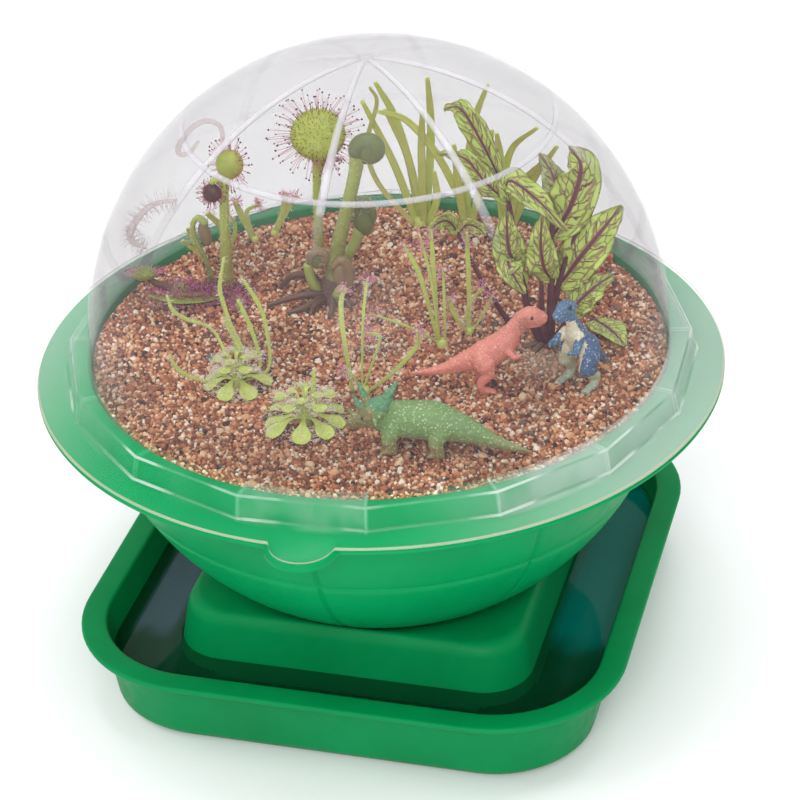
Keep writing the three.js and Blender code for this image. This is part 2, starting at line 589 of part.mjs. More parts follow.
// Red-veined sorrel: stalks from one root, with a waved leaf at the end of each.
function sorrel() {
  const foot = [45.4, 7.4];
  const at = (p) => shoot(foot, p);
  const stalk = (points, radii, steps = 3) => stem(points.map(at), radii, { sides: 5, steps });
  const frond = (points, width, options) => leaf(points.map(at), width, options);
  const face = FACING.clone().normalize();
  plant('sorrel', 0x7fa640, [foot, 2.6], [
    stalk([[0.6, 0, 0], [1.4, 0, 10], [1.8, -1, 24], [2.2, -2, 38]], [1.5, 1.2, 1.0, 0.8]),
    stalk([[-0.8, 0.4, 0], [-4.6, 0, 10], [-7, -1, 26], [-9.4, -3, 42], [-11, -4, 51]], [1.4, 0.8, 0.7], 4),
    stalk([[1.4, 0, 9], [6, 0, 27], [13.3, -1, 44.4]], [0.9, 0.8, 0.7], 2),
    stalk([[0.6, 1, 0], [4, 3, 6], [7, 3, 14]], [1.2, 0.9, 0.7], 2),
    frond([[-10.6, -4, 47], [-16.4, -3, 61.5], [-21.6, -1, 72], [-26, 0, 72.6]], 6.4, { wave: 1 }),
    frond([[-9.8, -3, 43], [-15.4, -1, 50], [-21, 1, 58.6], [-28, 3, 61.2]], 6),
    frond([[2, -1.6, 32], [7.2, -1, 42], [9.6, 1, 54], [6.4, 2, 61]], 13, { face, wave: 1.1 }),
    frond([[2, -2, 36], [4, -5, 42], [2.6, -6, 49], [-1, -5, 56]], 8),
    frond([[3.7, 0, 18], [8.6, 2, 26.6], [15, 3, 36], [20.4, 3, 43.4]], 12.6, { face, wave: 1.1 }),
    frond([[5.4, 3, 10], [9, 5, 16], [13, 6, 20.6], [18, 6, 24.4]], 8.6, { face, waves: 2, wave: 1.1 }),
    frond([[-6.7, -0.9, 24], [-9.4, 1, 29], [-10.2, 2, 36], [-10.2, 3, 43.4]], 9),
    frond([[1.6, -0.6, 20], [-0.6, 3, 26], [-1.4, 4, 34], [-0.9, 5, 43]], 8.4),
    frond([[-9.6, -3, 43.6], [-9, 1, 51], [-2, 3, 46], [5.6, 4, 37]], 7.6, { face }),
    frond([[-5.4, -0.4, 18], [-10, 2, 27], [-8.6, 4, 23.6], [-6, 5, 19]], 7, { face, waves: 2 }),
  ]);
}

// A leaning stalk with two leaves, and a leaf that lies on the sand, beside the sorrel.
function sorrelBits() {
  const bit = (name, color, [foot, radius], stalk, leaves) => plant(name, color, [foot, radius], [
    stem(stalk.map((p) => shoot(foot, p)), [1.0, 0.8, 0.7], { sides: 5 }),
    ...leaves.map(({ path, width, ...options }) => leaf(path.map((p) => shoot(foot, p)), width, options)),
  ]);
  const leaning = [[0, 0, 0], [-6, 0, 11], [-11, -1, 22], [-14.4, -2, 30.6]];
  bit('sorrel_side_stalk', 0x7a8a44, [[33, 16.5], 1.3], leaning, [
    { path: [[-13.4, -2, 28], [-16, 0, 33], [-19, 2, 33.6], [-22, 3, 31]], width: 5.4, waves: 2, wave: 0.6 },
    { path: [[-13.4, -2, 28], [-11, 0, 31.6], [-8, 1, 31], [-6, 2, 29]], width: 4.6, waves: 2, wave: 0.6 },
  ]);
  const lying = [[1, 1.4, 2], [3, 6, 3], [5.6, 11.5, 3.2], [8, 16.5, 2.4]];
  bit('sorrel_low_leaf', 0x8db24a, [[55.4, 20], 1.1], [[0, 0, 0], [0.4, 0.4, 1.6], [1.4, 2, 2.2]], [
    { path: lying, width: 9, face: UP, waves: 2, wave: 0.4 },
  ]);
}

function slimSundews() {
  const clumps = {
    shoots_middle: [[17.4, 1.6], 2.2, [
      [[-0.9, 0, 0], [-1.8, 0, 18], [-1.9, 0, 36]],
      [[-0.6, 0.6, 0], [-2.6, 0, 20], [-5, 0, 34.6]],
      [[0.9, 0, 0], [0.9, 0, 12], [0.9, 0.4, 24.6]],
      [[-0.8, -0.6, 0], [-5, -1, 22], [-9.4, -1, 31.4]],
      [[-0.8, 0, 0.6], [-8.6, 0.6, 5.6], [-19.4, 0, 11]],
    ]],
    shoots_middle_right: [[23.2, 9.6], 1.6, [
      [[0, 0, 0], [0.3, 0, 16], [0, 0, 31.6]],
      [[-0.5, 0, 0], [-0.6, 1, 8], [5, 1.4, 16]],
      [[0.5, 0.3, 0], [3.4, 1, 7], [6.6, 2, 12.6]],
      [[-0.5, 0.3, 0], [-4, 2, 7], [-5.6, 2.6, 13]],
    ]],
    shoots_front: [[2.8, -26.4], 2.2, [
      [[-0.9, 0, 0], [-3.6, 0, 14], [-3.9, 0.4, 29.6]],
      [[0, 0, 0], [1, 0, 16], [2, 0.4, 30.8]],
      [[0.8, 0.6, 0], [2, 0.8, 9], [3.2, 1, 14.6], [1.6, 1, 17.6]],
      [[0.9, 0, 0.4], [7, 0.6, 5.6], [13.4, 1, 11], [14.8, 1, 17]],
      [[-0.6, 0.8, 0], [-2, 3, 7], [-5.6, 4.6, 10]],
    ]],
  };
  for (const [name, [foot, radius, blades]] of Object.entries(clumps)) {
    clump(name, 0xb4cf55, [foot, radius], blades, [0.8, 0.8, 0.45], 3, 0.9);
  }
}

// A flat rosette of spoon leaves, with a few longer leaves that stand up out of it.
function rosette(name, foot, count, reach, tall) {
  const spoons = Array.from({ length: count }, (_, k) => {
    const turn = (2 * Math.PI * k) / count + 0.3;
    const out = (r, up) => shoot(foot, [r * Math.cos(turn), r * Math.sin(turn), up]);
    const long = reach * (k % 2 ? 0.78 : 1);
    const rise = k % 2 ? 3.4 : 1;
    const path = [out(0.3, 0.8), out(long * 0.5, 1.4 + rise * 0.5), out(long, 1.2 + rise)];
    return blade(path, [0.8, 1.7, 2.4, 0.8], { face: UP, thick: 0.9 });
  });
  const long = tall.map((points) => (
    blade(points.map((p) => shoot(foot, p)), [0.8, 0.9, 1.1, 0.5], { thick: 0.85 })));
  plant(name, 0xb9d060, [foot, 2.2], [...spoons, ...long]);
}

function rosettes() {
  rosette('rosette_left', [-31.7, -30.6], 8, 8.6, [
    [[-0.6, 0, 0], [-9, -3, 12], [-16, -7, 24]],
    [[0, 0, 0], [-1.4, -3, 15], [-2.1, -7, 28]],
    [[0.4, 0, 0], [2.4, -3, 15], [3.7, -7, 28]],
    [[-0.4, 0, 0.4], [-9, 0, 6], [-16.6, 0, 12]],
    [[0.8, 0.4, 0], [3, -1, 12], [2.4, -3, 23]],
  ]);
  rosette('rosette_front', [-8.1, -45.2], 10, 11.4, [
    [[0.2, 0, 0], [2.4, -1, 9], [3.2, -1, 16]],
    [[-0.4, 0, 0], [-1.4, 0, 5], [-2.4, 1, 9]],
  ]);
}

// ---------------------------------------------------------------- toy figures
// A figure's own frame: x along its back toward the head, y to its left, z up from the sand.
function figureSpace([x, y], heading, size) {
  const turn = rad(heading);
  return (point) => {
    const [fx, fy, fz] = point.map((value) => value * size);
    const [px, py] = [fx * Math.cos(turn) - fy * Math.sin(turn), fx * Math.sin(turn) + fy * Math.cos(turn)];
    return v3(x + px, y + py, SAND_TOP + GAP + fz);
  };
}

// The pieces of a figure as stems in its own frame, given as [points, radii, options].
function figure(name, color, place, heading, size, limbs) {
  const at = figureSpace(place, heading, size);
  const geometries = limbs.map(([points, radii, options]) => (
    stem(points.map(at), radii.map((r) => r * size), options)));
  return { name, color, geometry: fuse(geometries) };
}

// How a two-legged hunter holds itself, from the tip of its tail to its nose.
const LEANING = {
  spine: [
    [-19.4, 0, 5.6], [-12, 0, 6.2], [-5.6, 0, 8.2], [0, 0, 10],
    [5, 0, 13.4], [7.8, 0, 17.4], [10.4, 0, 20.2], [15.6, 0, 19.8],
  ],
  radii: [0.6, 1.8, 3.0, 4.6, 4.1, 2.7, 2.8, 1.5],
  shoulder: [5.4, 12.6],
};
const UPRIGHT = {
  spine: [
    [-10.8, 0, 0.9], [-8.2, 0, 3.4], [-5, 0, 6.8], [-1.6, 0, 10],
    [0.8, 0, 13.8], [2.2, 0, 17.6], [3.4, 0, 21], [8, 0, 21.4],
  ],
  radii: [0.5, 1.3, 2.5, 3.8, 3.6, 2.3, 2.3, 1.2],
  shoulder: [2.2, 14],
};

// A two-legged hunter in the given posture.
function theropod(name, color, place, heading, size, { spine, radii, shoulder: [ahead, high] }) {
  const limbs = [-1, 1].flatMap((side) => {
    const leg = [[-1.2, 2, 10], [0.8, 3.4, 6.2], [-1.8, 3.5, 3.2], [-0.6, 3.5, 0.8]];
    const foot = [[-2, 3.5, 1], [2.6, 3.6, 0.8]];
    const arm = [[ahead, 1.8, high], [ahead + 2.2, 3.1, high - 2.2], [ahead + 4, 3, high - 2]];
    const onSide = (points) => points.map(([x, y, z]) => [x, side * y, z]);
    return [
      [onSide(leg), [3, 2.3, 1.4, 1.2], { sides: 5 }],
      [onSide(foot), [0.95, 0.75], { sides: 4, steps: 1 }],
      [onSide(arm), [1.1, 0.8, 0.5], { sides: 4, steps: 2 }],
    ];
  });
  const trunk = [spine, radii, { sides: 7, steps: 9 }];
  return figure(name, color, place, heading, size, [trunk, ...limbs]);
}

// A four-legged plant-eater with a neck shield and three horns.
function hornedFigure(name, color, place, heading) {
  const spine = [
    [-32, 0, 1], [-22, 0, 3.4], [-14, 0, 6.4], [-6, 0, 8.2], [3, 0, 8], [9, 0, 8.2], [16, 0, 6.2],
  ];
  const legs = [[3.4, 1], [3.4, -1], [-8.6, 1], [-8.6, -1]].flatMap(([x, side]) => [
    [
      [[x, side * 2.6, 7], [x + 0.6, side * 4, 3.4], [x - 0.2, side * 4, 1.2]],
      [2.7, 2, 1.7],
      { sides: 5, steps: 2 },
    ],
    [[[x - 0.8, side * 4, 1], [x + 1.5, side * 4, 0.85]], [0.95, 0.85], { sides: 4, steps: 1 }],
  ]);
  const horn = { sides: 4, steps: 1 };
  return figure(name, color, place, heading, 1, [
    [spine, [0.7, 2.4, 4.4, 6.1, 5.5, 3.9, 1.5], { sides: 7, steps: 8 }],
    [[[9.4, 0, 9], [6.8, 0, 12.2]], [3, 6.6], { sides: 8, steps: 1 }],
    [[[10.8, 1.8, 10], [14.8, 3, 16]], [1.1, 0.35], horn],
    [[[10.8, -1.8, 10], [14.8, -3, 16]], [1.1, 0.35], horn],
    [[[14.4, 0, 7.2], [16.4, 0, 10.4]], [0.9, 0.35], horn],
    ...legs,
  ]);
}

// ---------------------------------------------------------------- assembly
tallSundew();
rolledSundew();
leftSundew();
hookedSundew();
smallSprouts();
grasses();
sorrel();
sorrelBits();
slimSundews();
rosettes();

const figures = [
  hornedFigure('figure_horned', 0x4d8558, [22, -50.4], 183),
  theropod('figure_pink', 0xd9716b, [34.4, -18.2], 18, 1, LEANING),
  theropod('figure_blue', 0x3d6c93, [58.6, -12.6], -119, 1.2, UPRIGHT),
  theropod('figure_coral', 0xd8603f, [49, 40], -38, 0.72, LEANING),
];

const pieces = [
  { name: 'tray', color: 0x0a8f52, roughness: 0.45, geometry: trayGeometry() },
  { name: 'water', color: 0x1f4f55, roughness: 0.05, opacity: 0.6, geometry: waterGeometry() },
  { name: 'pot', color: POT_GREEN, roughness: 0.4, geometry: potGeometry() },
  { name: 'sand', color: 0x9a6650, roughness: 1, geometry: sandGeometry(plants.flatMap((p) => p.holes)) },
  { name: 'lid', color: 0xe8e4ea, roughness: 0.08, opacity: 0.3, geometry: lidGeometry() },
  ...plants,
  ...figures,
];

const group = new THREE.Group();
for (const { name, color, roughness = 0.6, opacity = 1, geometry } of pieces) {
  const transparent = opacity < 1;
  const material = new THREE.MeshStandardMaterial({ color, roughness, metalness: 0, opacity, transparent });
  const mesh = new THREE.Mesh(geometry, material);
  mesh.name = name;
  group.add(mesh);
}

// The origin is the middle of the whole object's underside: the finger tabs reach past the round flanges
// at the front only, so the pot's axis stands a little behind it.
const box = new THREE.Box3().setFromObject(group);
const centre = box.getCenter(v3(0, 0, 0));
group.position.set(-centre.x, -centre.y, 0);

export default group;
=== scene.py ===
import itertools
import math

import bpy
import numpy as np
from mathutils import Matrix, Vector


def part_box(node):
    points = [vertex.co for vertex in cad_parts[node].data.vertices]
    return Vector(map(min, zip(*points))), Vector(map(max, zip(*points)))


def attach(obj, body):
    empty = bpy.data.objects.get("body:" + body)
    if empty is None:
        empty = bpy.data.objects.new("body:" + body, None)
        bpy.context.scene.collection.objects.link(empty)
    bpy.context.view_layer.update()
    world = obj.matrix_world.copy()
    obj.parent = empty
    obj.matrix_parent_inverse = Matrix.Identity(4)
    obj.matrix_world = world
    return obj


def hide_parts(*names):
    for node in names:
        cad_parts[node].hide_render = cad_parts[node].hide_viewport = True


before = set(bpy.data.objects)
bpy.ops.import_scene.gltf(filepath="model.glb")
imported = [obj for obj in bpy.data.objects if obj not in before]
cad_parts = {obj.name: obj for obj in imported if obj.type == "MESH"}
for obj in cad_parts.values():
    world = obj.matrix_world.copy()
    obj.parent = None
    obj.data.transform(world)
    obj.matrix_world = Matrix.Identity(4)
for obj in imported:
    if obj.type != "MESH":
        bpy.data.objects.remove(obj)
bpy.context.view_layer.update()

# ------------------------------------------------------------------ sizes, in millimetres round the pot's axis
MM = 0.001
TRAY_LOW, TRAY_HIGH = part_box("tray")
AXIS = np.array([(TRAY_LOW.x + TRAY_HIGH.x) / 2, (TRAY_LOW.y + TRAY_HIGH.y) / 2, 0.0]) / MM
DOME_R, DOME_Z, LID_WALL = 79.75, 99.2, 0.8
HOOP_ANGLES = (38.2, 64.7)
RIB_HALF, RIB_HEIGHT, HOOP_HALVES = 1.6, 0.86, (0.85, 1.3)
GROOVE_DEPTH, GROOVE_HALF, GROOVE_RING = 0.65, 0.62, 64.7
FLANGE_R, LID_FLANGE_TOP = 95.0, 89.6
LID_COLLAR_BASE, LID_COLLAR_TOP, LID_SHELF_TOP = 87.3, 86.0, 95.9
BOWL_R, BOWL_Z, BOWL_FLOOR, POT_WALL, POT_FLANGE_THICK = 81.6, 96.4, 22.3, 1.5, 1.0
SAND_TOP, SAND_RELIEF = 93.2, 0.5
FIT_GAP, COLLAR_GAP, WATER_GAP = 0.35, 1.25, 0.12
TURN, RIB_STEP, CORNER_STEP = 1.6, 45, 11.25
TAB_AZIMUTH = -87.0
LID_TAB, POT_TAB = (8.4, 93.3), (9.5, 93.6)
TRAY_HALF, TRAY_CORNER, TRAY_HEIGHT, TRAY_WALL, RIM_WIDTH = 77.5, 36.4, 24.6, 1.5, 7.1
TRAY_FOOT, FOOT_CORNER = 68.1, 25.4
SEAT_HALF, SEAT_TOP, SEAT_FOOT, SEAT_CORNER = 47.6, 29.4, 53.0, 12.0
WATER_TOP = 15.48
ACROSS = np.array([math.cos(math.radians(16)), math.sin(math.radians(16)), 0])
TOWARD = np.array([math.sin(math.radians(16)), -math.cos(math.radians(16)), 0])
UP = np.array([0.0, 0.0, 1.0])
FACING = (TOWARD * 0.8 + UP) / math.hypot(0.8, 1)
random = np.random.default_rng(11)


def unit(vector):
    vector = np.asarray(vector, float)
    return vector / np.maximum(np.linalg.norm(vector, axis=-1, keepdims=True), 1e-9)


# ------------------------------------------------------------------ mesh helpers
class Shape:
    """The parts of one piece: points in millimetres, faces, places on the surface and the numbers of their looks."""

    def __init__(self):
        self.points, self.faces, self.places, self.kinds, self.total = [], [], [], [], 0

    def add(self, part, kind=0):
        """Adds a part of one kind, or with a list, of one kind for each group of its faces."""
        points, faces, places = part
        self.points.append(points)
        self.places.append(places)
        for group, number in zip(faces, kind if isinstance(kind, list) else [kind] * len(faces)):
            self.faces.append(group + self.total)
            self.kinds.append(np.broadcast_to(number, len(group)))
        self.total += len(points)
        return self


def dress(mesh, looks):
    for name in looks.split():
        mesh.materials.append(LOOKS[name])


def piece(name, shape, looks, nodes):
    """Makes one Blender object of a shape, which rides on the row's only body and stands for CAD nodes."""
    mesh = bpy.data.meshes.new(name)
    points = (np.concatenate(shape.points) + AXIS) * MM
    corners = np.concatenate([group.ravel() for group in shape.faces])
    sizes = np.concatenate([np.full(len(group), group.shape[1]) for group in shape.faces])
    mesh.vertices.add(len(points))
    mesh.vertices.foreach_set("co", points.ravel())
    mesh.loops.add(len(corners))
    mesh.loops.foreach_set("vertex_index", corners.astype(np.int32))
    mesh.polygons.add(len(sizes))
    mesh.polygons.foreach_set("loop_start", np.concatenate([[0], np.cumsum(sizes)[:-1]]).astype(np.int32))
    mesh.polygons.foreach_set("material_index", np.concatenate(shape.kinds).astype(np.int32))
    mesh.polygons.foreach_set("use_smooth", np.full(len(sizes), True))
    mesh.update(calc_edges=True)
    layer = mesh.uv_layers.new(name="place")
    layer.data.foreach_set("uv", np.concatenate(shape.places)[corners].ravel().astype(np.float32))
    dress(mesh, looks)
    made = bpy.data.objects.new(name, mesh)
    bpy.context.scene.collection.objects.link(made)
    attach(made, "root")
    if nodes:
        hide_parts(*nodes)
    return made


def volume_of(points, faces):
    total = 0.0
    for group in faces:
        for k in range(1, group.shape[1] - 1):
            a, b, c = points[group[:, 0]], points[group[:, k]], points[group[:, k + 1]]
            total += np.einsum("ij,ij->i", a, np.cross(b, c)).sum()
    return total


def skin(rings, across=None, loop=False, ends=(None, None)):
    """A closed surface over rings of points; its ends are fans, or the last ring joins the first."""
    rings = np.asarray(rings, float)
    count, around = rings.shape[:2]
    across = np.linspace(0, 1, around) if across is None else np.asarray(across, float)
    points = rings.reshape(-1, 3)
    places = np.stack([np.repeat(np.linspace(0, 1, count), around), np.tile(across, count)], -1)
    i, j = np.meshgrid(np.arange(count if loop else count - 1), np.arange(around), indexing="ij")
    at = lambda a, b: (a % count) * around + b % around
    quads = np.stack([at(i, j), at(i, j + 1), at(i + 1, j + 1), at(i + 1, j)], -1).reshape(-1, 4)
    faces = [quads]
    if not loop:
        tips = [rings[k].mean(0) if end is None else np.asarray(end, float) for k, end in zip((0, -1), ends)]
        points = np.vstack([points, tips])
        places = np.vstack([places, [[0, 0.5], [1, 0.5]]])
        j = np.arange(around)
        first, last = np.full(around, count * around), np.full(around, count * around + 1)
        faces.append(np.stack([first, at(0, j + 1), at(0, j)], -1))
        faces.append(np.stack([last, at(count - 1, j), at(count - 1, j + 1)], -1))
    if volume_of(points, faces) < 0:
        faces = [group[:, ::-1] for group in faces]
    return points, faces, places


def curve(points, steps):
    points = np.asarray(points, float)
    padded = np.vstack([2 * points[0] - points[1], points, 2 * points[-1] - points[-2]])
    place = np.linspace(0, len(points) - 1, steps + 1)
    k = np.minimum(place.astype(int), len(points) - 2)
    f = (place - k)[:, None]
    a, b, c, d = (padded[k + n] for n in range(4))
    return 0.5 * (2 * b + (c - a) * f + (2 * a - 5 * b + 4 * c - d) * f**2 + (3 * b - a - 3 * c + d) * f**3)


def along(values, count):
    values = np.atleast_1d(np.asarray(values, float))
    return np.interp(np.linspace(0, len(values) - 1, count), np.arange(len(values)), values)


def ahead_of(path):
    return unit(np.gradient(path, axis=0))


def tube(points, radii, steps=18, sides=10, start=TOWARD, squash=1.0):
    """A round stem with rounded ends along a smooth curve through points."""
    path = curve(points, steps)
    ahead = ahead_of(path)
    radius = along(radii, len(path))
    turn = np.linspace(0, 2 * math.pi, sides, endpoint=False)
    side = np.asarray(start, float)
    if abs(side @ ahead[0]) > 0.97:
        side = ACROSS
    rings = []
    for k, (p, way, r) in enumerate(zip(path, ahead, radius)):
        side = unit(side - way * (side @ way))
        cross = np.cross(way, side)
        ring = lambda size, shift: (p + way * shift + size * squash * np.cos(turn)[:, None] * side
                                    + size * np.sin(turn)[:, None] * cross)
        if k == 0:
            rings += [ring(r * 0.45, -r * 0.85), ring(r * 0.85, -r * 0.5)]
        rings.append(ring(r, 0))
        if k == len(path) - 1:
            rings += [ring(r * 0.85, r * 0.5), ring(r * 0.45, r * 0.85)]
    return skin(rings)


def ball(centre, sizes, axes=None, rows=8, columns=10):
    """A ball squeezed along three axes."""
    axes = np.eye(3) if axes is None else np.asarray(axes, float)
    down = np.linspace(0, math.pi, rows + 1)[1:-1]
    turn = np.linspace(0, 2 * math.pi, columns, endpoint=False)
    local = np.stack([np.sin(down)[:, None] * np.cos(turn), np.sin(down)[:, None] * np.sin(turn),
                      np.broadcast_to(np.cos(down)[:, None], (rows - 1, columns))], -1)
    place = lambda p: np.asarray(centre) + (p * np.asarray(sizes, float)) @ axes
    return skin(place(local), ends=(place(np.array([0, 0, 1.0])), place(np.array([0, 0, -1.0]))))


def sheet(points, half_widths, thick=0.5, face=TOWARD, steps=18, cells=6, fold=0.2, lift=None):
    """A blade or leaf: a curved sheet with two faces, folded along its middle, `lift(t, s)` above its middle line."""
    path = curve(points, steps)
    ahead = ahead_of(path)
    side = unit(np.cross(ahead, face))
    out = np.cross(side, ahead)
    half = along(half_widths, len(path))[:, None, None]
    s = np.linspace(-1, 1, cells + 1)
    t = np.linspace(0, 1, len(path))[:, None]
    raised = fold * half[:, :, 0] * np.abs(s) + (0 if lift is None else lift(t, s))
    body = thick / 2 * (1 - 0.75 * np.abs(s))
    middle = path[:, None] + side[:, None] * half * s[None, :, None]
    top = middle + out[:, None] * (raised + body)[:, :, None]
    low = middle + out[:, None] * (raised - body)[:, :, None]
    rings = np.concatenate([top, low[:, -2:0:-1]], 1)
    return skin(rings, across=np.concatenate([s, s[-2:0:-1]]) / 2 + 0.5)


GOLDEN = (1 + math.sqrt(5)) / 2
SIGNS = [(s, t) for s in (-1, 1) for t in (-1, 1)]
ICO = unit([(0, s, t * GOLDEN) for s, t in SIGNS] + [(s, t * GOLDEN, 0) for s, t in SIGNS]
           + [(t * GOLDEN, 0, s) for s, t in SIGNS])


def icosahedron_faces():
    close = lambda *pairs: all(np.linalg.norm(ICO[a] - ICO[b]) < 1.2 for a, b in pairs)
    rows = [(i, j, k) for i, j, k in itertools.combinations(range(12), 3) if close((i, j), (j, k), (i, k))]
    outward = lambda i, j, k: np.dot(np.cross(ICO[j] - ICO[i], ICO[k] - ICO[i]), ICO[i]) > 0
    return np.array([(i, j, k) if outward(i, j, k) else (i, k, j) for i, j, k in rows])


ICO_FACES = icosahedron_faces()


def pellets(points):
    """One part of many lumps, each with the twelve points of an icosahedron."""
    faces = ICO_FACES[None] + 12 * np.arange(len(points))[:, None, None]
    return points.reshape(-1, 3), [faces.reshape(-1, 3)], np.zeros((points.size // 3, 2))


def bristles(bases, ways, lengths, thick=0.1, bend=0.12, bulb=0.0, sides=4, steps=3):
    """Many thin hairs in one part, and the drops at their tips in a second one."""
    bases, ways = np.asarray(bases, float), unit(ways)
    count = len(bases)
    lengths = np.broadcast_to(lengths, count)[:, None, None]
    side = unit(np.cross(ways, random.normal(size=(count, 3))))
    cross = np.cross(ways, side)
    t = np.linspace(0, 1, steps + 1)
    rise = t[None, :, None]
    middle = bases[:, None] + ways[:, None] * lengths * rise + side[:, None] * lengths * bend * rise ** 2
    turn = np.arange(sides) * 2 * math.pi / sides
    turned = turn[None, :, None]
    around = np.cos(turned) * side[:, None] + np.sin(turned) * cross[:, None]
    points = middle[:, :, None] + (thick * (1 - 0.45 * t))[None, :, None, None] * around[:, None]
    first = (np.arange(count) * (steps + 1) * sides)[:, None, None]
    i, j = np.meshgrid(np.arange(steps), np.arange(sides), indexing="ij")
    at = lambda a, b: a * sides + b % sides
    quads = np.stack([at(i, j), at(i, j + 1), at(i + 1, j + 1), at(i + 1, j)], -1).reshape(1, -1, 4) + first
    ends = np.stack([np.arange(sides)[::-1], steps * sides + np.arange(sides)])[None] + first
    places = np.stack([np.repeat(t, sides), np.tile(turn / 6.3, steps + 1)], -1)
    places = np.broadcast_to(places, (count, len(places), 2))
    parts = [(points.reshape(-1, 3), [quads.reshape(-1, 4), ends.reshape(-1, sides)], places.reshape(-1, 2))]
    if bulb:
        size = bulb * random.uniform(0.75, 1.2, count)
        parts.append(pellets(middle[:, -1][:, None] + ICO[None] * size[:, None, None]))
    return parts


# ------------------------------------------------------------------ materials
def linear(*colours):
    """Linear colours of screen colours, which go from 0 to 255."""
    values = np.array(colours) / 255
    values = np.where(values <= 0.04045, values / 12.92, ((values + 0.055) / 1.055) ** 2.4)
    return [tuple(float(v) for v in row) for row in values]


def shade(colour, by):
    return tuple(min(1, c * by) for c in colour)


class Flow:
    """One output of a material's nodes, with the usual arithmetic."""

    def __init__(self, look, socket):
        self.look, self.socket = look, socket

    def __add__(self, other):
        return self.look.maths("ADD", self, other)

    def __mul__(self, other):
        return self.look.maths("MULTIPLY", self, other)

    def __sub__(self, other):
        return self.look.maths("SUBTRACT", self, other)

    def __rsub__(self, other):
        return self.look.maths("SUBTRACT", other, self)

    def __abs__(self):
        return self.look.maths("ABSOLUTE", self)

    def span(self, low, high, to_low=0.0, to_high=1.0, smooth=False):
        """What was between two numbers, spread between two others."""
        inputs = {"Value": self, "From Min": low, "From Max": high, "To Min": to_low, "To Max": to_high}
        return self.look.out("Result", "MapRange", inputs, interpolation_type="SMOOTHSTEP" if smooth else "LINEAR")

    def step(self, low, high, to_low=0.0, to_high=1.0):
        return self.span(low, high, to_low, to_high, smooth=True)


LOOKS = {}


class Look:
    """A procedural material, with short calls for the nodes that feed its one shader."""

    def __init__(self, name, colour, roughness=0.5, **inputs):
        self.material = LOOKS[name] = bpy.data.materials.new(name)
        self.material.use_nodes = True
        self.tree = self.material.node_tree
        self.shader = self.tree.nodes["Principled BSDF"]
        self.shader.inputs["Base Color"].default_value = (*colour, 1)
        self.shader.inputs["Roughness"].default_value = roughness
        for key, value in inputs.items():
            self.shader.inputs[key.replace("_", " ")].default_value = value

    def node(self, kind, inputs=(), **settings):
        made = self.tree.nodes.new("ShaderNode" + kind)
        for key, value in settings.items():
            setattr(made, key, value)
        for key, value in dict(inputs).items():
            if isinstance(value, Flow):
                self.tree.links.new(value.socket, made.inputs[key])
            else:
                made.inputs[key].default_value = value
        return made

    def out(self, output, kind, inputs=(), **settings):
        """One output of a new node."""
        return Flow(self, self.node(kind, inputs, **settings).outputs[output])

    def feed(self, socket, flow):
        self.tree.links.new(flow.socket, self.shader.inputs[socket])

    def feed_alpha(self, flow):
        self.feed("Alpha", self.out(0, "Clamp", {"Value": flow}))

    def spot(self):
        return self.out("Object", "TexCoord")

    def noise(self, per_mm, detail=3.0, roughness=0.55):
        inputs = {"Vector": self.spot(), "Scale": per_mm / MM, "Detail": detail, "Roughness": roughness}
        return self.out("Fac", "TexNoise", inputs)

    def cells(self, per_mm):
        return self.out("Distance", "TexVoronoi", {"Vector": self.spot(), "Scale": per_mm / MM}, feature="F1")

    def parts(self, vector):
        made = self.node("SeparateXYZ", {"Vector": vector})
        return [Flow(self, made.outputs[k]) for k in range(3)]

    def place(self):
        """How far along and across its stem or blade a point lies, from 0 to 1."""
        return self.parts(self.out("UV", "UVMap", uv_map="place"))[:2]

    def join(self, *values):
        return self.out(0, "CombineXYZ", dict(enumerate(values)))

    def maths(self, operation, *values):
        return self.out(0, "Math", dict(enumerate(values)), operation=operation)

    def ramp(self, value, stops, constant=False):
        made = self.node("ValToRGB", {"Fac": value})
        made.color_ramp.interpolation = "CONSTANT" if constant else "LINEAR"
        while len(made.color_ramp.elements) < len(stops):
            made.color_ramp.elements.new(0.5)
        for element, (where, colour) in zip(made.color_ramp.elements, stops):
            element.position = where
            element.color = (*colour, 1)
        return Flow(self, made.outputs["Color"])

    def mix(self, factor, first, second, blend="MIX"):
        as_value = lambda c: (*c, 1) if isinstance(c, tuple) else c
        inputs = {0: factor, 6: as_value(first), 7: as_value(second)}
        return self.out(2, "Mix", inputs, data_type="RGBA", blend_type=blend)

    def bump(self, height, strength, distance):
        inputs = {"Height": height, "Strength": strength, "Distance": distance * MM}
        self.feed("Normal", self.out("Normal", "Bump", inputs))


def plastic_look(name, light, dark, roughness):
    light, dark = linear(light, dark)
    look = Look(name, light, roughness, Specular_IOR_Level=0.1)
    look.feed("Base Color", look.mix(look.noise(0.03, 4).span(0.3, 0.7), dark, light))
    look.feed("Roughness", look.noise(0.25, 5).span(0.3, 0.7, roughness - 0.07, roughness + 0.1))
    look.bump(look.noise(2.2, 3) + look.noise(0.12, 2) * 1.6, 0.25, 0.05)


def clear_look(name, dark, pale, thin, thick):
    """Clear plastic, tinted like a filter, that lets less through where it is seen at a slant and is painted paler
    there, a painted reflection.
    """
    dark, pale = linear(dark, pale)
    look = Look(name, dark, 0.12, Specular_IOR_Level=0.3)
    slant = look.maths("POWER", look.out("Facing", "LayerWeight", {"Blend": 0.5}), 4.0)
    # painted reflection: the colour turns paler toward the slant
    look.feed("Base Color", look.mix(slant, dark, pale))
    look.alpha = slant.span(0, 1, thin, thick) * look.noise(0.04, 3).span(0.3, 0.7, 0.88, 1.12)
    look.feed("Alpha", look.alpha)
    look.bump(look.noise(0.05, 2), 0.1, 0.08)
    return look


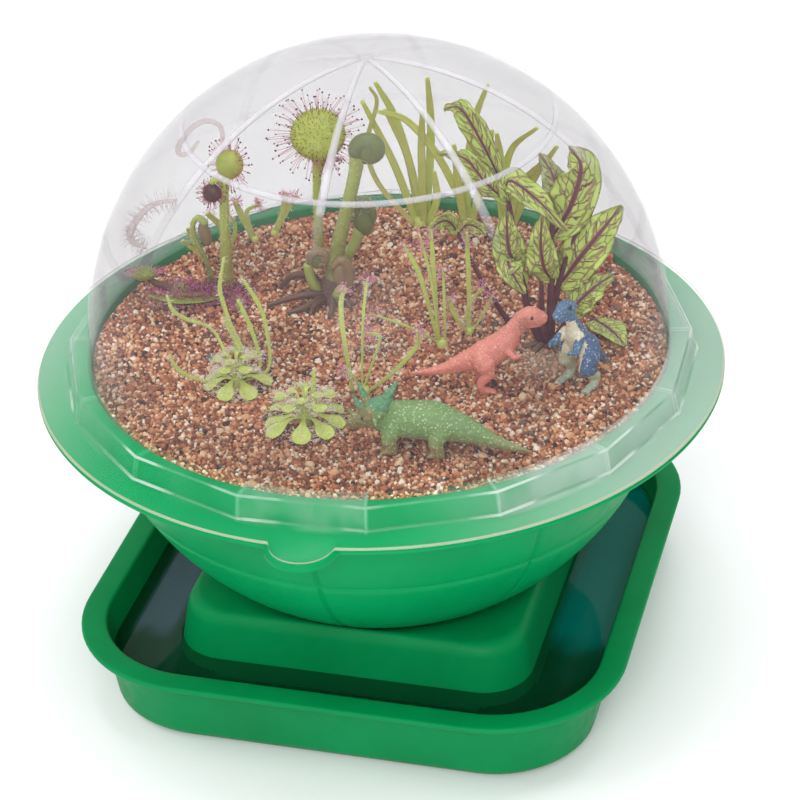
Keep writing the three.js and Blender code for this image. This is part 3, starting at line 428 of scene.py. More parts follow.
def flange_look(name):
    """Clear plastic over the green rim: greener in front, whitened aside by a painted reflection, with painted
    highlight lines at the collar's corners and a painted hazy reflection on two sides of the collar.
    """
    look = clear_look(name, (120, 225, 170), (226, 234, 228), 0.02, 0.3)
    x, y, _ = look.parts(look.spot())
    y = y - float(AXIS[1]) * MM
    # painted reflection: more opaque and paler toward the left and right sides
    aside = abs(x + 0.01).step(0.03, 0.1, 0.0, 0.22)
    sector = look.maths("DIVIDE", look.maths("ARCTAN2", y, x), math.radians(2 * CORNER_STEP))
    from_corner = look.maths("FRACT", sector - ((TURN + CORNER_STEP) / (2 * CORNER_STEP) - 0.5))
    # painted highlight: thin pale lines at the collar's corners
    line = abs(from_corner - 0.5).step(0.006, 0.02, 0.13, 0.0)
    on_collar = look.maths("SQRT", x * x + y * y).span(0.0874, 0.0878, 1.0, 0.0)
    side = look.maths("ROUND", sector - TURN / (2 * CORNER_STEP))
    # painted reflection: a pale haze on two sides of the collar
    collar_reflection_strength = abs(abs(side + 3.0) - 1.0).span(0.4, 0.6, 0.075, 0.02)
    facet_reflection = collar_reflection_strength * look.noise(0.07, 3).span(0.35, 0.6, 0.2, 1.3) * on_collar
    look.feed_alpha(look.alpha + aside + line * on_collar + facet_reflection)
    # how far the painted reflections whiten the green
    painted_whitening = (aside + facet_reflection * 1.2).span(0.0, 0.22)
    look.feed("Base Color", look.mix(painted_whitening, *linear((116, 225, 168), (216, 230, 222))))


def collar_highlight_look(name):
    """A painted highlight: the collar's edges are paler and more opaque in patches, where they catch the light."""
    look = clear_look(name, (216, 228, 220), (226, 234, 228), 0.16, 0.3)
    look.feed_alpha(look.alpha * look.noise(0.045, 2).step(0.42, 0.62, 0.5, 3.2))


def rib_look(name):
    """The ribs carry a painted highlight toward the top of the dome, paler and more opaque there, and painted grey
    shade lower down; they fade round its far side and below the front hoop.
    """
    look = clear_look(name, (206, 204, 209), (214, 212, 217), 0.015, 0.1)
    x, y, z = look.parts(look.spot())
    near = x * 0.276 - y * 0.961
    # painted highlight: toward the top of the dome the ribs are more opaque
    above = z.step(0.146, 0.167, 0.012, 0.36)
    front = near.step(-0.01, 0.004, 0.1, 1.0)
    # painted shade and highlight: grey low on the dome, pale toward the top
    look.feed("Base Color", look.mix(above.span(0.0, 0.25), *linear((132, 124, 124), (214, 212, 217))))
    front_rib = abs(x).span(0.004, 0.007, 1.0, 0.0) * z.span(0.1598, 0.1606, 0.75, 0.0)
    front = front * (1.0 - front_rib * y.span(-0.01, 0.0, 1.0, 0.0))
    look.feed_alpha((look.alpha + above) * front)


def stem_look(name, base, top, spots=None):
    """A stem or blade that changes colour from its foot to its tip."""
    base, top = linear(base, top)
    look = Look(name, top, 0.42, Subsurface_Weight=0.12, Subsurface_Scale=0.0012)
    look.shader.inputs["Subsurface Radius"].default_value = (0.6, 1.0, 0.3)
    upward, round_it = look.place()
    colour = look.mix(upward.step(0.02, 0.65), base, top)
    streaks = look.join(upward * 3.0, round_it * 26.0)
    lines = look.out("Fac", "TexNoise", {"Vector": streaks, "Scale": 1.0, "Detail": 2.0})
    colour = look.mix(lines.span(0.35, 0.7, 0, 0.45), colour, shade(top, 0.55))
    if spots:
        colour = look.mix(look.cells(0.9).span(0.12, 0.2, 0.75, 0.0), colour, *linear(spots))
    look.feed("Base Color", look.mix(look.noise(0.5, 4).span(0.3, 0.75, 0, 0.3), colour, shade(top, 1.5)))
    look.bump(lines, 0.3, 0.12)


def sorrel_look(name, light, dark, vein):
    """A leaf with a net of veins and side veins that branch from the middle one."""
    light, dark, vein = linear(light, dark, vein)
    look = Look(name, light, 0.38, Subsurface_Weight=0.1, Subsurface_Scale=0.001)
    upward, sideways = look.place()
    off = abs(sideways - 0.5) * 2.0
    phase = upward * 7.5 - off * 1.4 + (look.noise(0.35, 2) - 0.5) * 0.9
    inputs = {"Vector": look.join(phase, sideways * 4.4), "Scale": 1.0, "Randomness": 0.7}
    net = look.out("Distance", "TexVoronoi", inputs, feature="DISTANCE_TO_EDGE").step(0.025, 0.085, 1, 0)
    from_line = abs(look.maths("FRACT", phase) - 0.5)
    side_veins = from_line.step(0.03, 0.1, 1, 0) * off.span(0.55, 0.8, 1, 0)
    veins = look.maths("MAXIMUM", look.maths("MAXIMUM", side_veins, off.step(0.08, 0.15, 1, 0)), net * 0.7)
    green = look.mix(look.noise(0.3, 4).span(0.3, 0.7), dark, light)
    green = look.mix(off.span(0.92, 1.0, 0, 0.35), green, vein)
    look.feed("Base Color", look.mix(veins, green, vein))
    look.bump(1.0 - veins, 0.5, 0.25)


def toy_look(name, top, belly, low, high, fleck):
    """Moulded, painted toy skin: one colour above, another below, and pale scales."""
    top, belly, fleck = linear(top, belly, fleck)
    look = Look(name, top, 0.5)
    ragged = look.parts(look.spot())[2] + (look.noise(0.4, 3) - 0.5) * 0.004
    colour = look.mix(ragged.step((SAND_TOP + low) * MM, (SAND_TOP + high) * MM), belly, top)
    scales = look.cells(1.5)
    colour = look.mix(scales.span(0.1, 0.45, 0.0, 0.5), colour, shade(top, 0.5))
    dots = look.cells(1.25).span(0.2, 0.36, 0.7, 0.0) * look.noise(0.45, 3).span(0.34, 0.54, 0.2, 1.0)
    look.feed("Base Color", look.mix(dots, colour, fleck))
    look.feed("Roughness", look.noise(0.8, 3).span(0.3, 0.7, 0.38, 0.6))
    look.bump(scales, 0.4, 0.12)


def water_look(name):
    """Still water that the tray shows through, with painted reflections, grey-blue at the left and blue-green at the
    right, and painted shade in front, dark green where the tray's floor lies in shadow.
    """
    shadowed_floor_green, grey_blue_reflection, teal_reflection, plain = linear((10, 66, 38), (74, 98, 110), (0, 126, 116), (70, 96, 106))
    look = Look(name, plain, 0.04, Alpha=0.6, Specular_IOR_Level=0.2)
    across, back, _ = look.parts(look.spot())
    back = back + (look.noise(0.05, 2) - 0.5) * 0.03
    # painted reflection masks: a grey-blue patch at the left, a blue-green one at the right
    left = across.step(-0.052, -0.055) * across.step(-0.066, -0.0635) * back.step(-0.046, -0.038)
    right = across.step(0.05, 0.055) * back.step(-0.024, -0.012)
    # the dark green in front is painted shade of the tray's floor; the two patches are painted reflections
    look.feed("Base Color", look.mix(right, look.mix(left, shadowed_floor_green, grey_blue_reflection), teal_reflection))
    look.bump(look.noise(0.025, 2), 0.1, 0.5)


GRAIN_COLOURS = (
    (0.0, (74, 50, 40)), (0.06, (136, 80, 56)), (0.2, (180, 112, 76)), (0.42, (204, 140, 98)),
    (0.62, (226, 172, 128)), (0.78, (242, 208, 168)), (0.9, (252, 240, 220)), (0.975, (112, 106, 100)),
)
GREY_PATCH = tuple(float(v) for v in (np.array([48.0, 0.0, SAND_TOP]) + AXIS) * MM)


def grain_look(name, whole):
    """Sandy gravel: each grain has its own colour, the sand under the grains is darker as painted shade in the gaps,
    damp patches are darker, and one patch is greyer.
    """
    plain, patch = linear((150, 100, 80), (178, 158, 138))
    look = Look(name, plain, 0.75, Specular_IOR_Level=0.35)
    pick = look.out("Random Per Island", "NewGeometry") if whole else look.noise(0.9, 3, 0.8)
    # painted shade: the sand under the grains takes the grain colours at 0.42, dark in the gaps
    stops = [(place, shade(*linear(colour), 1 if whole else 0.42)) for place, colour in GRAIN_COLOURS]
    colour = look.ramp(pick, stops, constant=whole)
    near = look.out("Value", "VectorMath", {0: look.spot(), 1: GREY_PATCH}, operation="DISTANCE")
    colour = look.mix((near + look.noise(0.2, 2) * 0.006).span(0.007, 0.017, 0.6, 0.0), colour, patch)
    damp = look.noise(0.045, 4).span(0.4, 0.62, 1.0, 0.72)
    speck = damp * look.noise(1.6, 3).span(0.3, 0.75, 0.8, 1.2)
    look.feed("Base Color", look.mix(1.0, colour, look.join(speck, speck, speck), "MULTIPLY"))
    look.bump(look.noise(3.0, 3), 0.5, 0.15)


def hair_look(name, foot, tip, roughness=0.35, alpha=1.0):
    foot, tip = linear(foot, tip)
    look = Look(name, tip, roughness, Alpha=alpha)
    lower = look.mix(look.noise(0.3).span(0.3, 0.7), foot, tip)
    look.feed("Base Color", look.mix(look.place()[0], lower, tip))


def all_looks():
    table = {
        plastic_look: [("tray_plastic", (0, 134, 74), (0, 120, 64), 0.42),
                       ("pot_plastic", (0, 144, 82), (0, 132, 74), 0.38)],
        clear_look: [
            ("clear_dome", (104, 92, 100), (196, 188, 196), 0.124, 0.3),
            # painted highlight on the flange's outer rim: pale cream and more opaque
            ("clear_edge", (214, 202, 182), (226, 216, 204), 0.42, 0.6)],
        rib_look: [("clear_rib",)],
        flange_look: [("clear_flange",)],
        collar_highlight_look: [("clear_line",)],
        water_look: [("water",)],
        grain_look: [("sand_base", False), ("sand_grains", True)],
        stem_look: [
            ("stem_green", (136, 120, 70), (182, 202, 92)),
            ("stem_thick", (110, 98, 66), (166, 182, 96)),
            ("stem_brown", (66, 46, 38), (104, 80, 60)),
            ("bud_brown", (132, 120, 84), (146, 124, 92)),
            ("bud_green", (96, 112, 60), (112, 128, 70)),
            ("head_green", (160, 176, 60), (184, 194, 70)),
            ("ball_green", (150, 160, 60), (178, 188, 76)),
            ("pad_green", (118, 140, 60), (146, 164, 66), (130, 30, 54)),
            ("sprout_green", (184, 200, 100), (204, 222, 112)),
            ("rosette_green", (214, 226, 136), (194, 212, 104), (160, 152, 80)),
            ("grass_green", (196, 216, 102), (216, 232, 122)),
            ("grass_yellow", (224, 224, 140), (206, 216, 116)),
            ("stalk_purple", (66, 34, 40), (104, 56, 66))],
        sorrel_look: [
            ("sorrel_leaf", (204, 226, 116), (172, 204, 92), (122, 62, 78)),
            ("sorrel_back", (206, 222, 160), (184, 204, 136), (150, 106, 110))],
        hair_look: [
            ("hair_red", (226, 160, 150), (206, 96, 128)),
            ("hair_dark", (150, 110, 60), (96, 56, 44)),
            ("drop_red", (86, 22, 40), (130, 34, 62), 0.12),
            ("hair_pale", (255, 226, 220), (255, 248, 236), 0.3),
            ("hair_pink", (238, 176, 200), (216, 120, 166)),
            ("hair_brown", (92, 68, 50), (150, 124, 96)),
            ("faded", (226, 172, 190), (208, 190, 176), 0.4, 0.28),
            ("toy_eye", (20, 16, 16), (60, 50, 46), 0.25)],
        toy_look: [
            ("toy_green", (130, 172, 100), (176, 160, 112), 1.0, 8.0, (218, 230, 190)),
            ("toy_crest", (98, 166, 116), (112, 154, 104), 2.0, 9.0, (160, 204, 166)),
            ("toy_brown", (150, 150, 92), (160, 142, 96), 2.0, 8.0, (200, 204, 156)),
            ("toy_pink", (255, 158, 138), (246, 144, 124), 1.0, 5.0, (255, 188, 172)),
            ("toy_blue", (74, 112, 152), (120, 150, 166), 1.0, 7.0, (226, 238, 244)),
            ("toy_face", (84, 130, 166), (120, 156, 172), 1.0, 6.0, (184, 212, 224)),
            ("toy_leg", (206, 216, 180), (150, 176, 176), 0.5, 4.0, (236, 238, 212)),
            ("toy_cream", (246, 238, 204), (228, 226, 190), 1.0, 6.0, (252, 250, 234)),
            ("toy_coral", (226, 96, 64), (206, 88, 62), 1.0, 5.0, (244, 160, 130))],
    }
    for look, rows in table.items():
        for row in rows:
            look(*row)


all_looks()


# ------------------------------------------------------------------ round shells
def azimuths():
    even = np.arange(0, 360, 1.125) + TURN
    ribs = [TURN + RIB_STEP * k + d for k in range(8) for d in (-0.8, -0.5, -0.25, 0.25, 0.5, 0.8)]
    tab = np.arange(-9, 9.01, 0.375) + TAB_AZIMUTH
    return np.unique(np.round(np.mod(np.concatenate([even, ribs, tab]), 360), 3))


AROUND = azimuths()
COS, SIN = np.cos(np.radians(AROUND)), np.sin(np.radians(AROUND))
FROM_SIDE = np.mod(AROUND - TURN + CORNER_STEP, 2 * CORNER_STEP) - CORNER_STEP
SIDED = math.cos(math.radians(CORNER_STEP)) / np.cos(np.radians(FROM_SIDE))


def shell_ring(radius, z, sided=0.0, tab=None):
    """A ring of radius r; `sided` from 0, round, to 1, sixteen-sided. A tab reaches past it at the front."""
    reach = radius * (1 + sided * (SIDED - 1))
    if tab:
        size, centre = tab
        off = np.radians(np.mod(AROUND - TAB_AZIMUTH + 180, 360) - 180)
        inside = np.abs(centre * np.sin(off)) < size
        half_chord = np.sqrt(np.maximum(size**2 - (centre * np.sin(off)) ** 2, 0))
        far = np.where(inside & (np.abs(off) < 0.3), centre * np.cos(off) + half_chord, 0)
        reach = np.maximum(reach, np.minimum(far, radius + size))
    return np.stack([reach * COS, reach * SIN, np.full(len(AROUND), float(z))], -1)


def rounded(profile, cut):
    """Rounds the inner corners of a profile.

    Each row has up to four numbers, the kind of the faces after it, and the kind of its bend where that differs.
    """
    full = [row + (0,) * (5 - len(row)) for row in profile]
    made = [(full[0][:4], full[0][4])]
    for before, row, after in zip(full, full[1:], full[2:]):
        before, here, after = (np.array(numbers[:4], float) for numbers in (before, row, after))
        ends = []
        for other in (before, after):
            far = np.linalg.norm((other - here)[:2])
            ends.append(here + (other - here) * min(cut / max(far, 1e-6), 0.4))
        kind, bend = row[4], row[-1]
        made += [(ends[0], bend), (0.25 * ends[0] + 0.5 * here + 0.25 * ends[1], bend), (ends[1], kind)]
    return made + [(full[-1][:4], full[-1][4])]


def arc(radius, middle, degrees, way=1, kind=0):
    """Rows of a profile that follow a ball, from its top or with `way` -1 from its bottom."""
    return [((radius * math.sin(a), middle + way * radius * math.cos(a), 0, 0), kind) for a in np.radians(degrees)]


RIDGE = [(-1, -0.3), (-0.9, 0.25), (-0.6, 0.68), (-0.2, 0.94), (0.2, 0.94), (0.6, 0.68), (0.9, 0.25), (1, -0.3)]


def ridge(way, across, half):
    """A ring of points across a rib that stands on the dome in the direction `way`."""
    return [np.array([0, 0, DOME_Z]) + way * (DOME_R + h * RIB_HEIGHT) + across * x * half for x, h in RIDGE]


def lid_pieces():
    steps = np.linspace(1.5, 88, 46)
    inner_r, under_shelf = DOME_R - LID_WALL, LID_SHELF_TOP - LID_WALL
    flange_low = LID_FLANGE_TOP - LID_WALL
    # Face kinds: 1 is a painted highlight along the collar's bends, 2 the flange, 3 a painted highlight on the
    # flange's outer rim.
    line, flange, edge = 1, 2, 3
    brim = rounded([
        (DOME_R, DOME_Z - 0.5), (DOME_R, LID_SHELF_TOP, 0, 0, flange),
        (LID_COLLAR_TOP, LID_SHELF_TOP, 1, 0, flange, line),
        (LID_COLLAR_BASE, LID_FLANGE_TOP, 1, 0, flange, line), (FLANGE_R - 0.1, LID_FLANGE_TOP, 0, 1, edge),
        (FLANGE_R - 0.1, flange_low, 0, 1, flange), (LID_COLLAR_BASE - LID_WALL, flange_low, 1, 0, flange),
        (LID_COLLAR_TOP - LID_WALL, under_shelf, 1, 0, flange), (inner_r, under_shelf), (inner_r, DOME_Z - 0.5)],
        0.5)
    rows = arc(DOME_R, DOME_Z, steps) + brim + arc(inner_r, DOME_Z, steps[::-1])
    rings = [shell_ring(r, z, sided, LID_TAB if tab > 0.5 else None) for (r, z, sided, tab), _ in rows]
    part = skin(rings, ends=((0, 0, DOME_Z + DOME_R), (0, 0, DOME_Z + inner_r)))
    kinds = np.repeat([kind for _, kind in rows[:-1]], len(AROUND))
    shape = Shape().add(part, [kinds, 0, 0])
    piece("lid_shell", shape, "clear_dome clear_line clear_flange clear_edge", ["lid"])

    ribs = Shape()
    for k in range(8):
        turn = math.radians(TURN + RIB_STEP * k)
        outward = np.array([math.cos(turn), math.sin(turn), 0])
        sideways = np.array([-math.sin(turn), math.cos(turn), 0])
        rings = []
        for down in np.radians(np.linspace(1.2, 92, 40)):
            width = RIB_HALF * min(1, 0.42 + math.degrees(down) / 110)
            rings.append(ridge(outward * math.sin(down) + UP * math.cos(down), sideways, width))
        ribs.add(skin(rings))
    for down, half in zip(np.radians(HOOP_ANGLES), HOOP_HALVES):
        rings = []
        for turn in np.radians(np.arange(0, 360, 3)):
            outward = np.array([math.cos(turn), math.sin(turn), 0])
            slope = outward * math.cos(down) - UP * math.sin(down)
            rings.append(ridge(outward * math.sin(down) + UP * math.cos(down), slope, half))
        ribs.add(skin(rings, loop=True))
    piece("lid_ribs", ribs, "clear_rib", [])


def pot_piece():
    flange_top = LID_FLANGE_TOP - LID_WALL - FIT_GAP
    flange_low = flange_top - POT_FLANGE_THICK
    pocket_top, pocket_low = BOWL_Z - 5.4, BOWL_Z - 5.4 - 1.5
    shelf_top = LID_SHELF_TOP - LID_WALL - FIT_GAP
    inner, foot_angle = BOWL_R - POT_WALL, 29
    top_r, base_r = LID_COLLAR_TOP - COLLAR_GAP, LID_COLLAR_BASE - COLLAR_GAP
    on_bowl = lambda z: math.sqrt(BOWL_R**2 - (BOWL_Z - z) ** 2)
    brim = rounded([
        (inner, BOWL_Z - 3.4), (inner + 0.3, shelf_top), (top_r, shelf_top, 1), (base_r, flange_top, 1),
        (FLANGE_R - 0.15, flange_top, 0, 1), (FLANGE_R - 0.15, flange_low, 0, 1),
        (base_r - POT_WALL, flange_low, 1),
        (base_r - POT_WALL - 0.9, pocket_top, 1), (on_bowl(pocket_top) + 0.2, pocket_top),
        (on_bowl(pocket_low), pocket_low)], 0.5)
    beside_ring = GROOVE_RING + np.array([-0.8, -0.5, -0.25, 0, 0.25, 0.5, 0.8])
    ups = np.unique(np.concatenate([np.linspace(foot_angle, 84, 40), beside_ring]))
    foot_r = BOWL_R * math.sin(math.radians(foot_angle))
    foot = [((foot_r - r, BOWL_FLOOR + z, 0, 0), 0) for r, z in ((1.2, 1.6), (3, 0.7), (6, 0.3), (9, 0))]
    rows = [((30, BOWL_FLOOR + POT_WALL, 0, 0), 0)] + arc(inner, BOWL_Z, np.linspace(31, 87, 14), -1) + brim
    rows += arc(BOWL_R, BOWL_Z, ups[::-1], -1, kind=1) + foot
    away = np.abs(np.mod(AROUND - TURN + RIB_STEP / 2, RIB_STEP) - RIB_STEP / 2)
    rings = []
    for (r, z, sided, tab), grooved in rows:
        ring = shell_ring(r, z, sided, POT_TAB if tab > 0.5 else None)
        if grooved:
            across = np.radians(away) * r
            up = math.degrees(math.acos(np.clip((BOWL_Z - z) / BOWL_R, -1, 1)))
            on_ring = math.radians(abs(up - GROOVE_RING)) * BOWL_R
            upright, level = (np.exp(-((far / GROOVE_HALF) ** 2)) for far in (across, on_ring))
            ring = ring - unit(ring - [0, 0, BOWL_Z]) * (GROOVE_DEPTH * np.maximum(upright, level))[:, None]
        rings.append(ring)
    part = skin(rings, ends=((0, 0, BOWL_FLOOR + POT_WALL), (0, 0, BOWL_FLOOR)))
    piece("pot_body", Shape().add(part), "pot_plastic", ["pot"])


# ------------------------------------------------------------------ tray and water
QUARTER = np.concatenate([np.arange(0, 26, 3.5), np.arange(26, 64.1, 1.9), np.arange(66, 90, 3.5)])
TRAY_AROUND = np.concatenate([q + QUARTER for q in (0, 90, 180, 270)])


def square(half, corner, z, roundness=0.0):
    """A square with round corners, or with `roundness` 1 a circle of radius `half`."""
    cos, sin = np.cos(np.radians(TRAY_AROUND)), np.sin(np.radians(TRAY_AROUND))
    near, far = np.maximum(abs(cos), abs(sin)), np.minimum(abs(cos), abs(sin))
    middle = half - corner
    along_it = middle * (near + far)
    curved = along_it + np.sqrt(np.maximum(along_it**2 - 2 * middle**2 + corner**2, 0))
    reach = np.where(half * far / near <= middle, half / near, curved)
    reach = reach * (1 - roundness) + half * roundness
    return np.stack([reach * cos, reach * sin, np.full(len(cos), float(z))], -1)


def seat_half(z):
    return SEAT_FOOT + (SEAT_HALF - SEAT_FOOT) * z / SEAT_TOP


def wall_half(z):
    return TRAY_FOOT + (TRAY_HALF - RIM_WIDTH + TRAY_WALL - TRAY_FOOT) * z / TRAY_HEIGHT


def tray_pieces():
    on_dish = lambda z: math.sqrt((BOWL_R + FIT_GAP) ** 2 - (BOWL_Z - z) ** 2)
    inner, inner_corner = TRAY_HALF - RIM_WIDTH, TRAY_CORNER - RIM_WIDTH
    rim_low, dish_edge, dish_low = TRAY_HEIGHT - TRAY_WALL, SEAT_TOP - 0.9, BOWL_FLOOR - FIT_GAP
    rows = rounded([
        (30.0, dish_low, 30.0, 1), (35.4, BOWL_FLOOR - 0.3, 35.4, 1),
        (on_dish(SEAT_TOP - 3.2), SEAT_TOP - 3.2, 40.0, 1),
        (on_dish(dish_edge), dish_edge, 44.0, 1), (SEAT_HALF - 0.5, SEAT_TOP, SEAT_CORNER - 0.5),
        (SEAT_HALF + 1.1, SEAT_TOP - 3.2, SEAT_CORNER + 0.6), (seat_half(2.2) + 0.2, 2.2, SEAT_CORNER + 3),
        (seat_half(0) + 2.6, TRAY_WALL, SEAT_CORNER + 5), (TRAY_FOOT - 6.5, TRAY_WALL, FOOT_CORNER - 4.4),
        (wall_half(4.4) - TRAY_WALL, 4.4, FOOT_CORNER - 1), (inner - 0.1, TRAY_HEIGHT - 0.2, inner_corner),
        (inner + 1.2, TRAY_HEIGHT, inner_corner + 1.2), (TRAY_HALF - 0.1, TRAY_HEIGHT, TRAY_CORNER),
        (TRAY_HALF, rim_low, TRAY_CORNER), (inner + TRAY_WALL, rim_low, inner_corner + TRAY_WALL),
        (wall_half(3), 3.0, FOOT_CORNER + 1), (TRAY_FOOT - 2.2, 0.0, FOOT_CORNER),
        (seat_half(0) - 0.4, 0.0, SEAT_CORNER + 3),
        (seat_half(3.5) - 1.8, 3.5, SEAT_CORNER + 2), (SEAT_HALF - TRAY_WALL, SEAT_TOP - 2.6, SEAT_CORNER - 1),
        (on_dish(dish_edge) - 2.4, SEAT_TOP - 3.4, 41.0, 1), (34.5, BOWL_FLOOR - 1.85, 34.5, 1)], 0.9)
    rings = [square(half, corner, z, roundness) for (half, z, corner, roundness), _ in rows]
    part = skin(rings, ends=((0, 0, dish_low), (0, 0, BOWL_FLOOR - 1.85)))
    piece("tray_body", Shape().add(part), "tray_plastic", ["tray"])

    low = TRAY_WALL + WATER_GAP
    wall = lambda z: (wall_half(z) - TRAY_WALL - WATER_GAP, FOOT_CORNER + 0.6, z)
    seat = lambda z: (seat_half(z) + 0.3, SEAT_CORNER + 2.0, z)
    rings = [square(*row) for row in (
        (seat_half(0) + 3.0, SEAT_CORNER + 5, low), (TRAY_FOOT - 7.2, FOOT_CORNER - 4.6, low),
        wall(4.8), wall(9.0), wall(WATER_TOP - 0.3),
        (wall_half(WATER_TOP) - TRAY_WALL - 0.9, FOOT_CORNER + 0.2, WATER_TOP - 0.12),
        (60.0, FOOT_CORNER - 5, WATER_TOP - 0.14), (seat_half(WATER_TOP) + 1.2, SEAT_CORNER + 3, WATER_TOP - 0.12),
        seat(WATER_TOP - 0.1), seat(4.0))]
    piece("water_body", Shape().add(skin(rings, loop=True)), "water", ["water"])


# ------------------------------------------------------------------ sand
def sand_height(x, y):
    """The sand's shallow dips, as in the solid."""
    waves = np.sin(0.11 * x + 0.05 * y + 0.4) * np.cos(0.04 * x - 0.13 * y + 1.1)
    return SAND_TOP - SAND_RELIEF * (0.5 + 0.5 * waves)


def random_turns(count):
    w, x, y, z = unit(random.normal(size=(count, 4))).T
    return np.stack([1 - 2 * (y**2 + z**2), 2 * (x * y - w * z), 2 * (x * z + w * y),
                     2 * (x * y + w * z), 1 - 2 * (x**2 + z**2), 2 * (y * z - w * x),
                     2 * (x * z - w * y), 2 * (y * z + w * x), 1 - 2 * (x**2 + y**2)], -1).reshape(-1, 3, 3)


def sand_pieces():
    edge = BOWL_R - POT_WALL - 0.4
    turn = np.radians(np.arange(0, 360, 1.5))
    flat = lambda r, z: np.stack([r * np.cos(turn), r * np.sin(turn), np.full(len(turn), float(z))], -1)
    floor, under_grains = BOWL_FLOOR + POT_WALL + FIT_GAP, 0.3
    below = arc(edge, BOWL_Z, np.linspace(32, 85, 14), -1)
    rings = [flat(30, floor)] + [flat(*numbers[:2]) for numbers, _ in below]
    for r in np.linspace(edge - 0.5, 2, 90):
        ring = flat(r, 0)
        ring[:, 2] = sand_height(ring[:, 0], ring[:, 1]) - under_grains + random.normal(0, 0.1, len(turn))
        rings.append(ring)
    ends = ((0, 0, floor), (0, 0, float(sand_height(0, 0)) - under_grains))
    piece("sand_body", Shape().add(skin(rings, ends=ends)), "sand_base", ["sand"])

    pitch, reach = 0.98, 79.3
    x, y = np.meshgrid(np.arange(-80, 80, pitch), np.arange(-80, 80, pitch * 0.866))
    x[1::2] += pitch / 2
    spots = np.stack([x.ravel(), y.ravel()], -1) + random.uniform(-0.4, 0.4, (x.size, 2))
    spots = spots[np.hypot(spots[:, 0], spots[:, 1]) < reach - 0.5]
    size = np.clip(random.lognormal(math.log(0.56), 0.27, len(spots)), 0.34, 1.1)
    big = random.random(len(spots)) < 0.004
    size[big] = random.uniform(1.15, 1.6, big.sum())
    size = np.minimum(size, reach - np.hypot(spots[:, 0], spots[:, 1]))
    stretch = random.uniform(0.72, 1.25, (len(spots), 1, 3)) * size[:, None, None]
    lumps = random.uniform(0.8, 1.18, (len(spots), 12, 1))
    local = np.einsum("nij,nkj->nki", random_turns(len(spots)), ICO[None] * lumps * stretch)
    bedded = random.uniform(-0.3, 0.22, len(spots)) * np.minimum(size, 0.8)
    z = sand_height(spots[:, 0], spots[:, 1]) - 0.12 + bedded
    part = pellets(local + np.stack([spots[:, 0], spots[:, 1], z], -1)[:, None])
    piece("sand_grains", Shape().add(part), "sand_grains", [])


# ------------------------------------------------------------------ plants
def around_axis(axis, count, tilt, start):
    """Directions in a ring at a tilt from an axis."""
    first = unit(np.cross(axis, UP + 0.01))
    second = np.cross(axis, first)
    turn = 2 * math.pi * (np.arange(count) + start) / count + random.normal(0, 0.06, count)
    tilt = np.radians(tilt + random.normal(0, 3, count))
    flat = np.cos(turn)[:, None] * first + np.sin(turn)[:, None] * second
    return np.cos(tilt)[:, None] * axis + np.sin(tilt)[:, None] * flat


